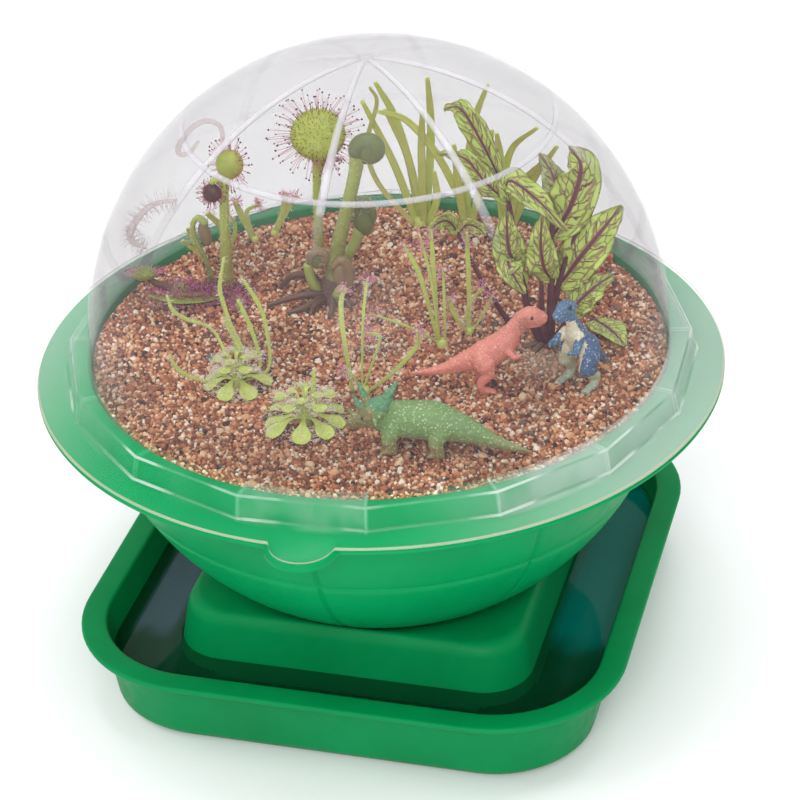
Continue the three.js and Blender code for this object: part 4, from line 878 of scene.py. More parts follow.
class Plant(Shape):
    """A shape rooted in the sand; its points are given across, toward the front, and up from its foot."""

    COIL_HAIRS = 4

    def __init__(self, foot, radius, kind=0):
        super().__init__()
        self.foot = foot
        radii = [radius * 0.6, radius * 0.8, radius * 0.75]
        self.add(tube(self.at([(0, 0, -6), (0, 0, -1), (0, 0, 0.7)]), radii, 6, 12), kind)

    def at(self, points):
        p = np.atleast_2d(np.asarray(points, float))
        foot = np.array([self.foot[0], self.foot[1], SAND_TOP])
        return foot + p[:, :1] * ACROSS + p[:, 1:2] * TOWARD + p[:, 2:] * UP

    def stem(self, points, radii, kind=0, steps=20, sides=12, squash=1.0):
        self.add(tube(self.at(points), radii, steps, sides, squash=squash), kind)

    def blade(self, points, half_widths, kind, *options):
        self.add(sheet(self.at(points), half_widths, *options), kind)

    def bud(self, centre, sizes, lean, rows, columns, kind):
        """An egg-shaped bud that leans to the right by `lean`."""
        axes = [unit(ACROSS + UP * lean), TOWARD, unit(UP - ACROSS * lean)]
        self.add(ball(self.at(centre)[0], sizes, axes, rows, columns), kind)

    def tufts(self, parts, hair_kind, drop_kind):
        for part, kind in zip(parts, (hair_kind, drop_kind)):
            self.add(part, kind)

    def fuzz(self, path, radius, count, length, kind, thick=0.07, lift=0.0, bulb=0.0, tips=None, bend=0.2):
        """Short hairs that stand off a stem or blade along a path."""
        k = random.integers(0, len(path), count)
        ways = unit(np.cross(ahead_of(path)[k], random.normal(size=(count, 3))) + UP * lift)
        bases = path[k] + ways * along(radius, len(path))[k][:, None] * 0.85
        parts = bristles(bases, ways, length * random.uniform(0.6, 1.2, count), thick, bend, bulb, 3, 2)
        self.tufts(parts, kind, kind if tips is None else tips)

    def hairs(self, points, steps, *options):
        self.fuzz(curve(self.at(points), steps), *options)

    def head(self, centre, radius, deep, axis, rows, leaf_kind, thick=0.13, bulb=0.36):
        """A round sundew leaf with rows of (count, tilt, length, hair kind, drop kind)."""
        centre = self.at(centre)[0]
        first = unit(np.cross(axis, UP + 0.01))
        self.add(ball(centre, [radius, radius, deep], [first, np.cross(axis, first), axis], 18, 26), leaf_kind)
        for count, tilt, length, hair_kind, drop_kind in rows:
            ways = around_axis(axis, count, tilt, random.random())
            up = (ways @ axis)[:, None]
            bases = centre + (ways - axis * up) * radius * 0.93 + axis * up * deep * 0.93
            drop = bulb * min(1.0, 0.3 + length / 4)
            length = length * random.uniform(0.75, 1.2, count)
            self.tufts(bristles(bases, ways + axis * 0.05, length, thick, 0.12, drop), hair_kind, drop_kind)

    def thicket(self, centre, spread, count, kinds):
        """A tangle of curly hairs over the sand, each with a drop at its tip."""
        bases = self.at(np.asarray(centre) + random.normal(size=(count, 3)) * spread)
        ways = random.normal(size=(count, 3)) * 0.8 + UP * 0.7
        self.tufts(bristles(bases, ways, 2.6 * random.uniform(0.5, 1.2, count), 0.07, 0.9, 0.15, 3, 4), *kinds)

    def coil(self, centre, size, thick, first, last, kind, core, flat):
        """A shoot rolled up at its tip."""
        centre = self.at(centre)[0]
        turn = np.radians(np.linspace(first, last, 14))[:, None]
        reach = np.linspace(size - thick, (size - thick) * 0.5, 14)[:, None]
        path = centre + np.cos(turn) * reach * ACROSS + np.sin(turn) * reach * UP
        self.add(tube(path, [thick, thick * 1.05, thick * 0.8], 40, 14), kind)
        self.add(ball(centre, [size * 0.74, thick * flat * 1.05, size * 0.74], [ACROSS, TOWARD, UP], 12, 16), core)
        self.fuzz(curve(path, 40), thick, int(90 * thick), 0.6, self.COIL_HAIRS)


def tall_sundew():
    plant = Plant((-31, 47), 1.8)
    main = [(0, 0, -1), (0.1, 0, 10), (0.3, 0, 20), (1.4, 0, 34)]
    plant.stem(main, [1.5, 1.3, 1.15, 1.7], sides=14)
    plant.stem([(0.7, 0.3, 23), (1.4, 0.6, 29), (1.7, 0.6, 34)], [0.5, 1.9, 4.4], 1, squash=0.55)
    centre = (1.6, 0.6, 38)
    rows = [(40, 92, 6.2, 2, 3), (38, 84, 5.0, 2, 3), (40, 76, 2.2, 4, 3)]
    inner = [(44, 68, 1.2), (42, 60, 1.0), (36, 52, 0.9), (32, 44, 0.9), (26, 35, 0.8), (20, 26, 0.8),
             (12, 16, 0.8), (5, 7, 0.8)]
    rows += [(*row, 4, 4) for row in inner]
    plant.head(centre, 8.0, 4.2, FACING, rows, 1, 0.1, 0.3)
    low = unit(ACROSS * 0.45 - UP + TOWARD * 0.2)
    ways = around_axis(low, 44, 34, 0)
    bases = plant.at(centre)[0] + low * 6.0 + ways * 1.2
    plant.tufts(bristles(bases, ways, random.uniform(2, 5, 44), 0.09, 0.3, 0.28), 2, 3)
    plant.hairs(main, 40, 1.3, 240, 0.9, 5)
    piece("tall_sundew", plant, "stem_green head_green hair_red drop_red hair_dark hair_pale", ["sundew_tall"])


def rolled_sundew():
    plant = Plant((-20.4, 20), 3.9, 2)
    main = [(0, 0, -1), (3.6, 0, 17), (7.2, 0, 31), (9.4, 0, 40), (10.2, 0, 45)]
    plant.stem(main, [2.7, 2.1, 1.8, 1.9, 2.2], 0, 40, 18)
    plant.stem([(-0.2, 0, -1), (1.0, 0, 5), (2.0, 0, 9)], [3.3, 2.8, 2.0], 2, 20, 16)
    plant.coil((13.2, 0, 46.4), 5.6, 2.6, 182, -148, 1, 1, 1.0)
    plant.stem([(1, -1, 0), (4.6, -5, 8), (8.4, -6, 15), (9.6, -6, 18.6)], [1.9, 1.6, 1.5, 1.8], 0)
    plant.bud((10.6, -6, 22), [3.1, 2.6, 5.4], 0.25, 14, 16, 1)
    hook = [(11.6, -5.6, 18.6), (13.2, -5.6, 23), (12.4, -5.2, 27.4), (10, -5, 27.6), (8.8, -4.6, 24)]
    plant.stem(hook, [1.2, 1.5, 1.6, 1.4, 0.9], 1)
    plant.hairs(hook, 40, 1.4, 130, 0.7, 4)
    plant.stem([(-1, 0, 0), (-4.4, 0, 6), (-5.4, 0, 11)], [1.7, 1.4, 1.3], 0)
    plant.coil((-1.9, 0, 13.0), 4.1, 1.3, 190, -95, 3, 1, 0.7)
    plant.stem([(1, 1, 0), (3.2, 3, 4), (4.6, 3, 6)], [1.7, 1.5, 1.5], 0)
    plant.stem([(5.2, 3, 5), (6.4, 3, 10), (4.4, 3, 14), (2.0, 3, 12)], [1.4, 1.6, 1.5, 1.0], 3)
    plant.bud((3.9, 3, 9.6), [2.3, 1.9, 3.9], 0, 12, 14, 3)
    arms = [[(0, 1, 1.8), (-5, 1.6, 2.6), (-9, 2, 2.3), (-17, 3.4, 0.9)],
            [(-1, 1, 1.6), (-6, 6.5, 1.5), (-11, 8, 0.7)],
            [(0.6, 1, 1.6), (1, 6, 1.4), (0.5, 10, 0.6)], [(-1, 2, 1.2), (-4, 6, 1.2), (-5, 9, 0.4)],
            [(2, 1.5, 1.2), (5, 4, 1), (6, 6, 0.2)],
            [(-1, -1, 2.2), (-5, -3, 6.2), (-10.5, -5, 5.0), (-13.6, -6, 1.0)],
            [(1.4, -1, 2), (4.4, -3, 3.6), (6.4, -5, 0.6)]]
    for arm in arms:
        plant.stem(arm, [1.5, 1.3, 1.0, 0.7], 2, squash=0.8)
        plant.hairs(arm, 20, 1.2, 60, 1.0, 5, 0.06, 0.4)
    plant.hairs(main, 60, [2.9, 2.4, 2.0, 2.1, 2.4], 420, 0.8, 4, 0.05)
    plant.hairs([(0, 0, 0), (1.0, 0, 5), (2.4, 0, 12)], 30, 3.2, 260, 1.3, 5, 0.08, 0.3)
    piece("rolled_sundew", plant, "stem_thick bud_green stem_brown bud_brown hair_pale hair_brown",
          ["sundew_rolled"])


def left_sundew():
    plant = Plant((-50, 18.4), 2.9, 4)
    plant.stem([(0, 0, -1), (0.5, 0, 18), (1.3, 0, 32), (2.8, 0, 38)], [2.0, 1.5, 1.2, 1.5], 0, 30, 16)
    axis = unit(TOWARD * 0.6 + UP * 0.25 - ACROSS * 0.55)
    rows = [(26, 92, 3.9, 2, 3), (24, 84, 3.4, 2, 3), (16, 74, 2.4, 2, 3)]
    plant.head((3.4, 0.6, 41), 4.2, 3.6, axis, rows, 1, 0.11, 0.27)
    plant.stem([(1.3, 0.4, 34), (-0.6, 0.6, 36.4), (-1.9, 0.6, 35.6)], [0.8, 0.9, 0.8], 0)
    facing = unit(TOWARD + UP * 0.2 - ACROSS * 0.2)
    rows = [(34, 90, 1.9, 2, 3), (30, 80, 1.5, 2, 3)]
    rows += [(n, tilt, 0.9, 3, 3) for n, tilt in ((26, 66), (22, 54), (18, 42), (12, 28), (6, 12))]
    plant.head((-2.1, 0.6, 32.3), 2.7, 1.7, facing, rows, 4, 0.11, 0.24)
    arms = [([(0, 0, 1.6), (-6, 1, 2.2), (-13, 2.4, 2.8), (-19, 2.6, 4.8), (-22, 2.6, 7)], 1.2),
            ([(0, 0, 1.6), (3, 0.5, 1.8), (7, 1, 1.0)], 1.0),
            ([(0, 0.5, 1.6), (-4, -1.6, 1.6), (-9, -2.2, 1.0)], 1.0),
            ([(0, 0, 1), (-7, 4, 1.6), (-12, 5, 0.8)], 1.0)]
    for arm, size in arms:
        plant.stem(arm, [size * 1.15, size, size * 0.7], 4)
        plant.hairs(arm, 30, size, 70, 1.0, 8, 0.06, 0.4)
    pads = [((-13.4, 3, 3), 2.9, 1.7, UP + TOWARD * 0.3), ((-23, 2.6, 8.6), 3.7, 2.0, UP * 0.8 - TOWARD * 0.3)]
    for place, radius, deep, tilted in pads:
        rows = [(30, 88, 3.2, 6, 3), (24, 70, 2.4, 6, 3), (14, 50, 1.4, 6, 3)]
        plant.head(place, radius, deep, unit(tilted), rows, 5, 0.09, 0.2)
    lying = [([(0, 1, 0.8), (-5, 7, 1.8), (-14, 8.5, 2.4), (-22, 8, 4.4)], [0.9, 1.9, 2.0, 0.6]),
             ([(0, 1, 0.8), (3, 8, 1.6), (4, 14, 1)], [0.9, 1.7, 0.6]),
             ([(-1, 1, 0.8), (-8, 5, 2.4), (-15, 5, 3)], [0.9, 1.6, 0.5])]
    for path, widths in lying:
        plant.blade(path, widths, 5, 0.8, UP, 20)
        plant.hairs(path, 40, 1.3, 200, 2.4, 6, 0.08, 0.7, 0.18, 3, 0.5)
    plant.thicket((-6, 4, 1.2), (4.6, 3.8, 0.6), 190, (6, 3))
    plant.thicket((-12, 1, 1.8), (3.4, 2.8, 0.9), 130, (6, 3))
    plant.thicket((4, 4, 0.8), (3.0, 2.6, 0.5), 70, (6, 3))
    tendril = [(1.7, 0, 44), (1.8, 0, 52), (-2.2, 0, 54.3), (-6.5, 0, 52.1), (-10.3, 0, 47), (-10, 0, 44.5),
               (-7.3, 0, 45), (-4.9, 0, 48)]
    plant.stem(tendril, [0.6, 0.8, 0.85, 0.8, 0.5], 9, 60, 8)
    pale_pad = [(-12.4, 0, 30.3), (-19.8, 0, 28.7), (-25.6, 0, 22.1), (-25.6, 0, 17.6), (-22.1, 0, 15.4)]
    plant.stem(pale_pad, [0.5, 0.9, 1.1, 0.9, 0.5], 9, 40, 12, 0.7)
    plant.hairs(pale_pad, 60, 1.0, 420, 2.6, 9, 0.06, 0, 0.1)
    plant.hairs([(0, 0, 2), (0.5, 0, 18), (1.3, 0, 33)], 40, 1.5, 300, 0.8, 7)
    looks = "stem_green ball_green hair_red drop_red stem_brown pad_green hair_pink hair_pale hair_brown faded"
    piece("left_sundew", plant, looks, ["sundew_left"])


def hooked_sundew():
    plant = Plant((-55.6, 21.4), 1.2)
    main = [(0, 0, -1), (-1, 0, 7), (-3.6, 0, 15), (-4.2, 0, 19.6), (-2.6, 0, 22), (-0.8, 0, 20.4)]
    plant.stem(main, [1.0, 0.8, 0.7, 0.75, 0.9, 1.2], 0, 30)
    plant.bud((-0.9, 0, 16.8), [1.8, 1.3, 4.1], 0.15, 14, 14, 1)
    plant.hairs(main, 40, 0.9, 160, 0.6, 2)
    piece("hooked_sundew", plant, "stem_thick bud_brown hair_pale", ["sundew_hooked"])


def slim_leaves(name, node, foot, radius, leaves, tips=0, hairs=0, widths=(0.38, 0.42, 0.5, 0.5, 0.3)):
    """A clump of slim leaves; `tips` red hairs stand round each tip and `hairs` pale ones along each leaf."""
    plant = Plant(foot, radius)
    for k, leaf in enumerate(leaves):
        path = plant.at(leaf)
        bow = random.normal(0, 0.5, 3)
        path[1:-1] += bow
        wide = 0.85 + 0.5 * (k % 3 == 0)
        plant.add(sheet(path, np.multiply(widths, wide), 0.55, TOWARD, 26, 6, 0.3), 0)
        smooth = curve(path, 50)
        if tips:
            plant.fuzz(smooth[-8:], 0.5, tips, 1.7, 2, 0.09, 0.3, 0.2)
        if hairs:
            plant.fuzz(smooth[6:], 0.5, hairs, 1.0, 1, 0.06, 0, 0.1)
    piece(name, plant, "sprout_green hair_pale hair_pink", [node])


def small_sprouts():
    sprouts = {
        "sprout_far_left": ((-62.5, 35.5), [[(-2, 2, 8), (-3.5, 6, 14)], [(-4, 2, 5), (-5.5, 6, 10)]], 0),
        "sprout_back_left": ((-57, 41), [[(-1, 2, 9), (-5, 5, 16)], [(2.6, 1, 9), (0.5, 3, 15)]], 14),
        "sprout_back": ((-51.5, 49.5), [[(-3, 0, 8), (-5, 1, 14)], [(-3, 0, 9), (2.4, 1, 12.6)]], 40),
        "sprout_pair": ((-47, 54), [[(2.6, 0, 8), (4.4, 2.6, 14.6)], [(4, 0, 7), (7.4, 2.6, 14)]], 44),
    }
    for name, (foot, leaves, tips) in sprouts.items():
        leaves = [[(0, 0, 0), *leaf] for leaf in leaves]
        slim_leaves(name + "_leaves", name, foot, 1.3, leaves, tips, 20, (0.7, 0.75, 0.75, 0.6))


def grasses():
    tufts = {
        "grass_left": ((-6, 68.6), 3.0, [
            [(-1, 0, 0), (-7, 1.5, 21), (-15.4, 9, 45.6)], [(1.6, 0, 0), (-5.3, 4, 34.5), (-11.3, 15, 54)],
            [(1.8, -1, 0), (4, 6, 33), (3.4, 22, 58)], [(1.9, 1, 0), (5, 2, 9), (4.6, 3, 19)],
            [(-1.6, 1, 0), (-12, 3, 16), (-14.6, 6, 30), (-11.2, 11, 45.5), (-13, 16, 53)],
            [(0, -1, 0), (-3, 3, 24), (-9, 12, 44)], [(1, 1, 0), (1, 9, 28), (1.6, 20, 47)]]),
        "grass_middle": ((9, 68.4), 2.8, [
            [(1.2, 0, 0), (-7.6, 3, 24), (-16.9, 8, 40), (-25.3, 11, 45)],
            [(0, 0, 0), (-0.5, 1, 17.5), (2, 10, 40), (5.5, 24, 58)],
            [(-1.2, 0, 0), (-3, 3, 17), (-4, 10, 33)], [(0, 1, 0), (5, 4, 22), (7, 12, 38)]]),
        "grass_right": ((20.4, 68.4), 2.4, [
            [(-1, 0, 0), (-1.3, 0, 12), (1.4, 6, 30), (8.2, 19.5, 43.4)],
            [(1, 0, 0), (7, 7, 19.6), (13.6, 22, 38.7)],
            [(0, 0.8, 0), (3.6, 6, 18), (10.6, 20, 34)], [(0, -0.8, 0), (-1.6, 7, 26), (-3, 15, 40)]]),
    }
    for name, (foot, radius, blades) in tufts.items():
        plant = Plant(foot, radius, 1)
        for k, blade in enumerate(blades):
            yellow = name == "grass_left" and k == 4
            widths = [0.8, 0.8, 0.75, 0.6, 0.4] if yellow else [0.9, 1.2, 1.15, 1.0, 0.62]
            plant.blade(blade, widths, int(yellow), 0.45, TOWARD, 30, 6, 0.35)
        piece(name + "_blades", plant, "grass_green grass_yellow", [name])


def sorrel_leaf(plant, points, width, kind=0, wave=0.8, waves=3, face=TOWARD):
    steps, cells = 44, 16
    t = 0.01 + 0.98 * np.linspace(0, 1, steps + 1)
    half = width / 2 * np.maximum(0.1, np.sin(math.pi * t**0.75) ** 0.8)
    start = random.uniform(0, 6)

    def lift(u, s):
        edge = wave * s * s * np.sin(2 * math.pi * waves * u + np.where(s > 0, 0, 1.3))
        frill = 0.28 * wave * s**4 * np.sin(2 * math.pi * waves * 3.3 * u + start + np.where(s > 0, 0.4, 2.1))
        folds = np.abs(np.sin(math.pi * (7 * u - 1.3 * np.abs(s))))
        quilt = 0.3 * folds * (1 - s * s) * np.minimum(1, np.abs(s) * 4)
        return edge + frill + quilt

    plant.blade(points, half, kind, 0.45, face, steps, cells, 0.12, lift)
    plant.stem(points, [0.55, 0.42, 0.3, 0.12], 1, 24, 7, 0.7)


def sorrels():
    plant = Plant((45.4, 7.4), 3.2, 2)
    for path, radii in (
        ([(0.6, 0, 0), (1.4, 0, 10), (1.8, -1, 24), (2.2, -2, 38)], [1.7, 1.25, 1.0, 0.7]),
        ([(-0.8, 0.4, 0), (-4.6, 0, 10), (-7, -1, 26), (-9.4, -3, 42), (-11, -4, 51)], [1.5, 1.1, 0.9, 0.8, 0.6]),
        ([(1.4, 0, 9), (6, 0, 27), (13.3, -1, 44.4)], [1.0, 0.85, 0.6]),
        ([(0.6, 1, 0), (4, 3, 6), (7, 3, 14)], [1.3, 0.9, 0.6]),
        ([(0.2, 1, 0), (-1, 1.6, 8), (-1.2, 1.2, 20)], [1.2, 0.9, 0.6]),
    ):
        plant.stem(path, radii, 1, 30, 12)
    for near, far in (((-2, 2, 0.6), (-4, 4, -0.4)), ((2, 2.6, 0.6), (3, 5, -0.4)),
                      ((-3, 0.6, 0.6), (-6, 1, -0.4))):
        plant.stem([(0, 0, 1), near, far], [1.4, 1.0, 0.6], 2)
    fronds = [
        ([(-10.6, -4, 47), (-16.4, -3, 61.5), (-21.6, -1, 72), (-26, 0, 72.6)], 6.8, {"wave": 1.0, "waves": 4}),
        ([(-9.8, -3, 43), (-15.4, -1, 50), (-21, 1, 58.6), (-28, 3, 61.2)], 6.2, {"wave": 0.9, "waves": 4}),
        ([(2, -1.6, 32), (7.2, -1, 42), (9.6, 1, 54), (6.4, 2, 61)], 13, {"face": FACING, "wave": 1.0}),
        ([(2, -2, 36), (4, -5, 42), (2.6, -6, 49), (-1, -5, 56)], 8, {"kind": 3}),
        ([(3.7, 0, 18), (8.6, 2, 26.6), (15, 3, 36), (20.4, 3, 43.4)], 12.6, {"face": FACING, "wave": 0.9}),
        ([(5.4, 3, 10), (9, 5, 16), (13, 6, 20.6), (18, 6, 24.4)], 8.8, {"face": FACING, "waves": 4, "wave": 1.1}),
        ([(-6.7, -0.9, 24), (-9.4, 1, 29), (-10.2, 2, 36), (-10.2, 3, 43.4)], 9.2, {}),
        ([(1.6, -0.6, 20), (-0.6, 3, 26), (-1.4, 4, 34), (-0.9, 5, 43)], 8.8, {}),
        ([(-9.6, -3, 43.6), (-9, 1, 51), (-2, 3, 46), (5.6, 4, 37)], 7.8, {"face": FACING}),
        ([(-5.4, -0.4, 18), (-10, 2, 27), (-8.6, 4, 23.6), (-6, 5, 19)], 7.2, {"face": FACING, "waves": 2}),
    ]
    for points, width, options in fronds:
        sorrel_leaf(plant, points, width, **options)
    piece("sorrel_plant", plant, "sorrel_leaf stalk_purple stem_brown sorrel_back", ["sorrel"])

    plant = Plant((33, 16.5), 1.4, 1)
    plant.stem([(0, 0, 0), (-6, 0, 11), (-11, -1, 22), (-14.4, -2, 30.6)], [0.9, 0.7, 0.6, 0.5], 1)
    sorrel_leaf(plant, [(-13.4, -2, 28), (-16, 0, 33), (-19, 2, 33.6), (-22, 3, 31)], 5.6, waves=2, wave=0.6)
    sorrel_leaf(plant, [(-13.4, -2, 28), (-11, 0, 31.6), (-8, 1, 31), (-6, 2, 29)], 4.8, waves=2, wave=0.6)
    piece("sorrel_side", plant, "sorrel_leaf stalk_purple", ["sorrel_side_stalk"])

    plant = Plant((55.4, 20), 1.1, 1)
    plant.stem([(0, 0, 0), (0.4, 0.4, 1.6), (1.4, 2, 2.2)], [0.9, 0.8, 0.6], 1)
    sorrel_leaf(plant, [(1, 1.4, 2), (3, 6, 3), (5.6, 11.5, 3.2), (8, 16.5, 2.4)], 9.4, face=UP, wave=0.35, waves=2)
    piece("sorrel_low", plant, "sorrel_leaf stalk_purple", ["sorrel_low_leaf"])


def slim_sundews():
    clumps = {
        "shoots_middle": ((17.4, 1.6), 2.0, [
            [(-0.9, 0, 0), (-1.8, 0, 18), (-1.9, 0, 36)], [(-0.6, 0.6, 0), (-2.6, 0, 20), (-5, 0, 34.6)],
            [(0.9, 0, 0), (0.9, 0, 12), (0.9, 0.4, 24.6)], [(-0.8, -0.6, 0), (-5, -1, 22), (-9.4, -1, 31.4)],
            [(-0.8, 0, 0.6), (-8.6, 0.6, 5.6), (-19.4, 0, 11)]]),
        "shoots_middle_right": ((23.2, 9.6), 1.6, [
            [(0, 0, 0), (0.3, 0, 16), (0, 0, 31.6)], [(-0.5, 0, 0), (-0.6, 1, 8), (5, 1.4, 16)],
            [(0.5, 0.3, 0), (3.4, 1, 7), (6.6, 2, 12.6)], [(-0.5, 0.3, 0), (-4, 2, 7), (-5.6, 2.6, 13)]]),
        "shoots_front": ((2.8, -26.4), 2.0, [
            [(-3, 0, 0), (-3.1, 0, 9.1), (-4.1, 0, 20.3), (-4, 0, 28.5), (-3.3, 0, 32.1)],
            [(-0.6, 0, 0), (0.6, 0, 20), (1.9, 0, 31.2), (2.6, 0, 34.8)],
            [(-0.6, 0.6, 0), (3.2, 0, 12.8), (3.6, 0, 16.5), (1.1, 0, 18.5)],
            [(0.9, 0, 0), (4.8, 0, 2.4), (9.4, 0, 6.9), (14.1, 0, 13.2), (14.8, 0, 18.4)],
            [(-0.6, 0.8, 0), (-2, 3, 7), (-5.6, 4.6, 10)]]),
    }
    for name, (foot, radius, leaves) in clumps.items():
        slim_leaves(name + "_leaves", name, foot, radius, leaves, 26, 90)


ROSETTE_HAIRS = 48


def rosette(name, node, foot, count, reach, tall):
    """Spoon-shaped leaves in a flat whorl round a pale bud, with taller leaves that stand out of it."""
    plant = Plant(foot, 2.2)
    plant.add(ball(plant.at((0, 0, 1.4))[0], [1.5, 1.5, 1.5], rows=8, columns=12), 2)
    for ring, (number, size, rise) in enumerate(((count, 1.0, 1.0), (5, 0.76, 5.4), (4, 0.44, 7.0))):
        for k in range(number):
            turn = 2 * math.pi * (k + 0.5 * ring) / number + 0.3 + random.normal(0, 0.1)
            length = reach * size * random.uniform(0.86, 1.08)
            out = lambda r, up: (r * math.cos(turn), r * math.sin(turn), up)
            droop = 2.6 if ring == 0 else 0.4
            path = [out(0.3, 2.0), out(length * 0.4, 2.6 + rise * 0.9),
                    out(length * 0.75, 2.4 + rise - droop * 0.4), out(length, 2.2 + rise - droop)]
            broad = min(2.7, 1.0 + 0.17 * length)
            cup = lambda t, s: 0.8 * s * s * np.clip(t * 2 - 0.9, 0, 1)
            widths = np.array([0.2, 0.2, 0.21, 0.24, 0.3, 0.46, 0.78, 0.98, 1.0, 0.84, 0.5]) * broad
            plant.blade(path, widths, 0, 0.5, UP, 20, 8, 0.1, cup)
            blade = curve(plant.at(path), 20)[11:]
            aside = unit(np.cross(ahead_of(blade), UP))
            k = random.integers(0, len(blade), ROSETTE_HAIRS)
            s = random.uniform(-1, 1, ROSETTE_HAIRS)[:, None]
            bases = blade[k] + aside[k] * s * broad * 0.85
            ways = UP * random.uniform(0.1, 1, (ROSETTE_HAIRS, 1)) + aside[k] * s * 1.8
            ways = ways + ahead_of(blade)[k] * random.uniform(-0.2, 0.9, (ROSETTE_HAIRS, 1))
            plant.tufts(bristles(bases, ways, random.uniform(0.9, 2.6, ROSETTE_HAIRS), 0.07, 0.2, 0.12, 3, 2), 1, 1)
    for points in tall:
        plant.blade(points, [0.4, 0.42, 0.6, 0.62, 0.35], 0, 0.55, TOWARD, 26, 6, 0.25)
        plant.fuzz(curve(plant.at(points), 40)[8:], 0.5, 80, 0.9, 1, 0.06, 0, 0.1)
    piece(name, plant, "rosette_green hair_pale grass_yellow", [node])


def rosettes():
    rosette("left_rosette", "rosette_left", (-31.7, -30.6), 8, 9.0, [
        [(-0.6, -2, 1), (-5, -4, 15), (-12.1, -4, 19.4), (-15.6, -4, 22.3), (-16.9, -4, 27)],
        [(0, -2, 1), (2.3, -4, 7.7), (-0.5, -4, 16.9), (-2.3, -4, 25.1), (-2.6, -4, 29.3), (-0.9, -4, 37.7)],
        [(0.2, -2, 1), (1.5, -4, 7.8), (-0.9, -4, 15.4), (-2.2, -4, 19.5)],
        [(1, -2, 1), (6.4, -4, 4.1), (5.2, -4, 13.8), (3.2, -4, 20.8), (1.9, -4, 24.8)],
        [(1, -1, 0.6), (8.7, -4, 3), (8.8, -4, 15.8), (7.4, -4, 22.7), (5.3, -4, 27.4), (3.4, -4, 31.2)],
        [(-0.6, 0, 0.6), (-5.9, 0, 1.4), (-12.6, 0, 4), (-15.9, 0, 7), (-17.2, 0, 11.1)]])
    rosette("front_rosette", "rosette_front", (-8.1, -45.2), 9, 11.0, [
        [(0.2, 0, 0), (2.4, -1, 9), (3.2, -1, 16)], [(-0.4, 0, 0), (-1.4, 0, 5), (-2.4, 1, 9)]])


# ------------------------------------------------------------------ toy figures
def toy_axes(heading):
    turn = math.radians(heading)
    return np.array([[math.cos(turn), math.sin(turn), 0], [-math.sin(turn), math.cos(turn), 0], UP])


def figure(name, node, place, heading, size, limbs, eyes, looks, paint=None):
    """A toy of stems melted into one skin, with scales raised from it and two small eyes."""
    axes, base = toy_axes(heading), np.array([*place, SAND_TOP + FIT_GAP])
    at = lambda points: base + (np.atleast_2d(points) * size) @ axes
    sideways = at([[0, 1, 0]])[0] - at([[0, 0, 0]])[0]
    shape = Shape()
    for points, radii, squash in limbs:
        shape.add(tube(at(points), np.asarray(radii) * size, 28, 16, start=sideways, squash=squash))
    made = piece(name, shape, looks, [node])
    remesh = made.modifiers.new("melt", "REMESH")
    remesh.mode, remesh.voxel_size, remesh.use_smooth_shade = "VOXEL", 0.00036, True
    smooth = made.modifiers.new("soften", "SMOOTH")
    smooth.factor, smooth.iterations = 0.6, 5
    texture = bpy.data.textures.new(name + "_scales", "VORONOI")
    texture.noise_scale, texture.distance_metric = 0.0011, "DISTANCE"
    raised = made.modifiers.new("scales", "DISPLACE")
    raised.texture, raised.texture_coords, raised.strength, raised.mid_level = texture, "LOCAL", -0.0003, 0.3
    bpy.context.view_layer.update()
    melted = bpy.data.meshes.new_from_object(made.evaluated_get(bpy.context.evaluated_depsgraph_get()))
    made.modifiers.clear()
    made.data = melted
    melted.materials.clear()
    dress(melted, looks)
    if paint:
        centres = np.zeros(len(melted.polygons) * 3)
        melted.polygons.foreach_get("center", centres)
        local = (centres.reshape(-1, 3) / MM - AXIS - base) / size @ axes.T
        melted.polygons.foreach_set("material_index", paint(*local.T).astype(np.int32))
    eye = Shape()
    for x, y, z in eyes:
        for side in (-1, 1):
            eye.add(ball(at([[x, side * y, z]])[0], [0.5 * size] * 3, rows=8, columns=10))
    piece(name + "_eyes", eye, "toy_eye", [])


LEANING = ([(-19.4, 0, 5.6), (-12, 0, 6.2), (-5.6, 0, 8.2), (0, 0, 10), (5, 0, 13.4), (7.8, 0, 17.4),
            (10.2, 0, 20.2)],
           [0.6, 1.6, 2.8, 4.4, 3.9, 2.5, 2.4], (5.4, 12.6), (10.4, 20.4))
UPRIGHT = ([(-10.8, 0, 0.9), (-8.2, 0, 3.4), (-5, 0, 6.8), (-1.6, 0, 10), (0.8, 0, 13.8), (2.2, 0, 17.6),
            (3.2, 0, 20.6)],
           [0.4, 1.0, 1.9, 3.1, 2.7, 1.5, 1.4], (2.2, 14), (3.0, 21.2))


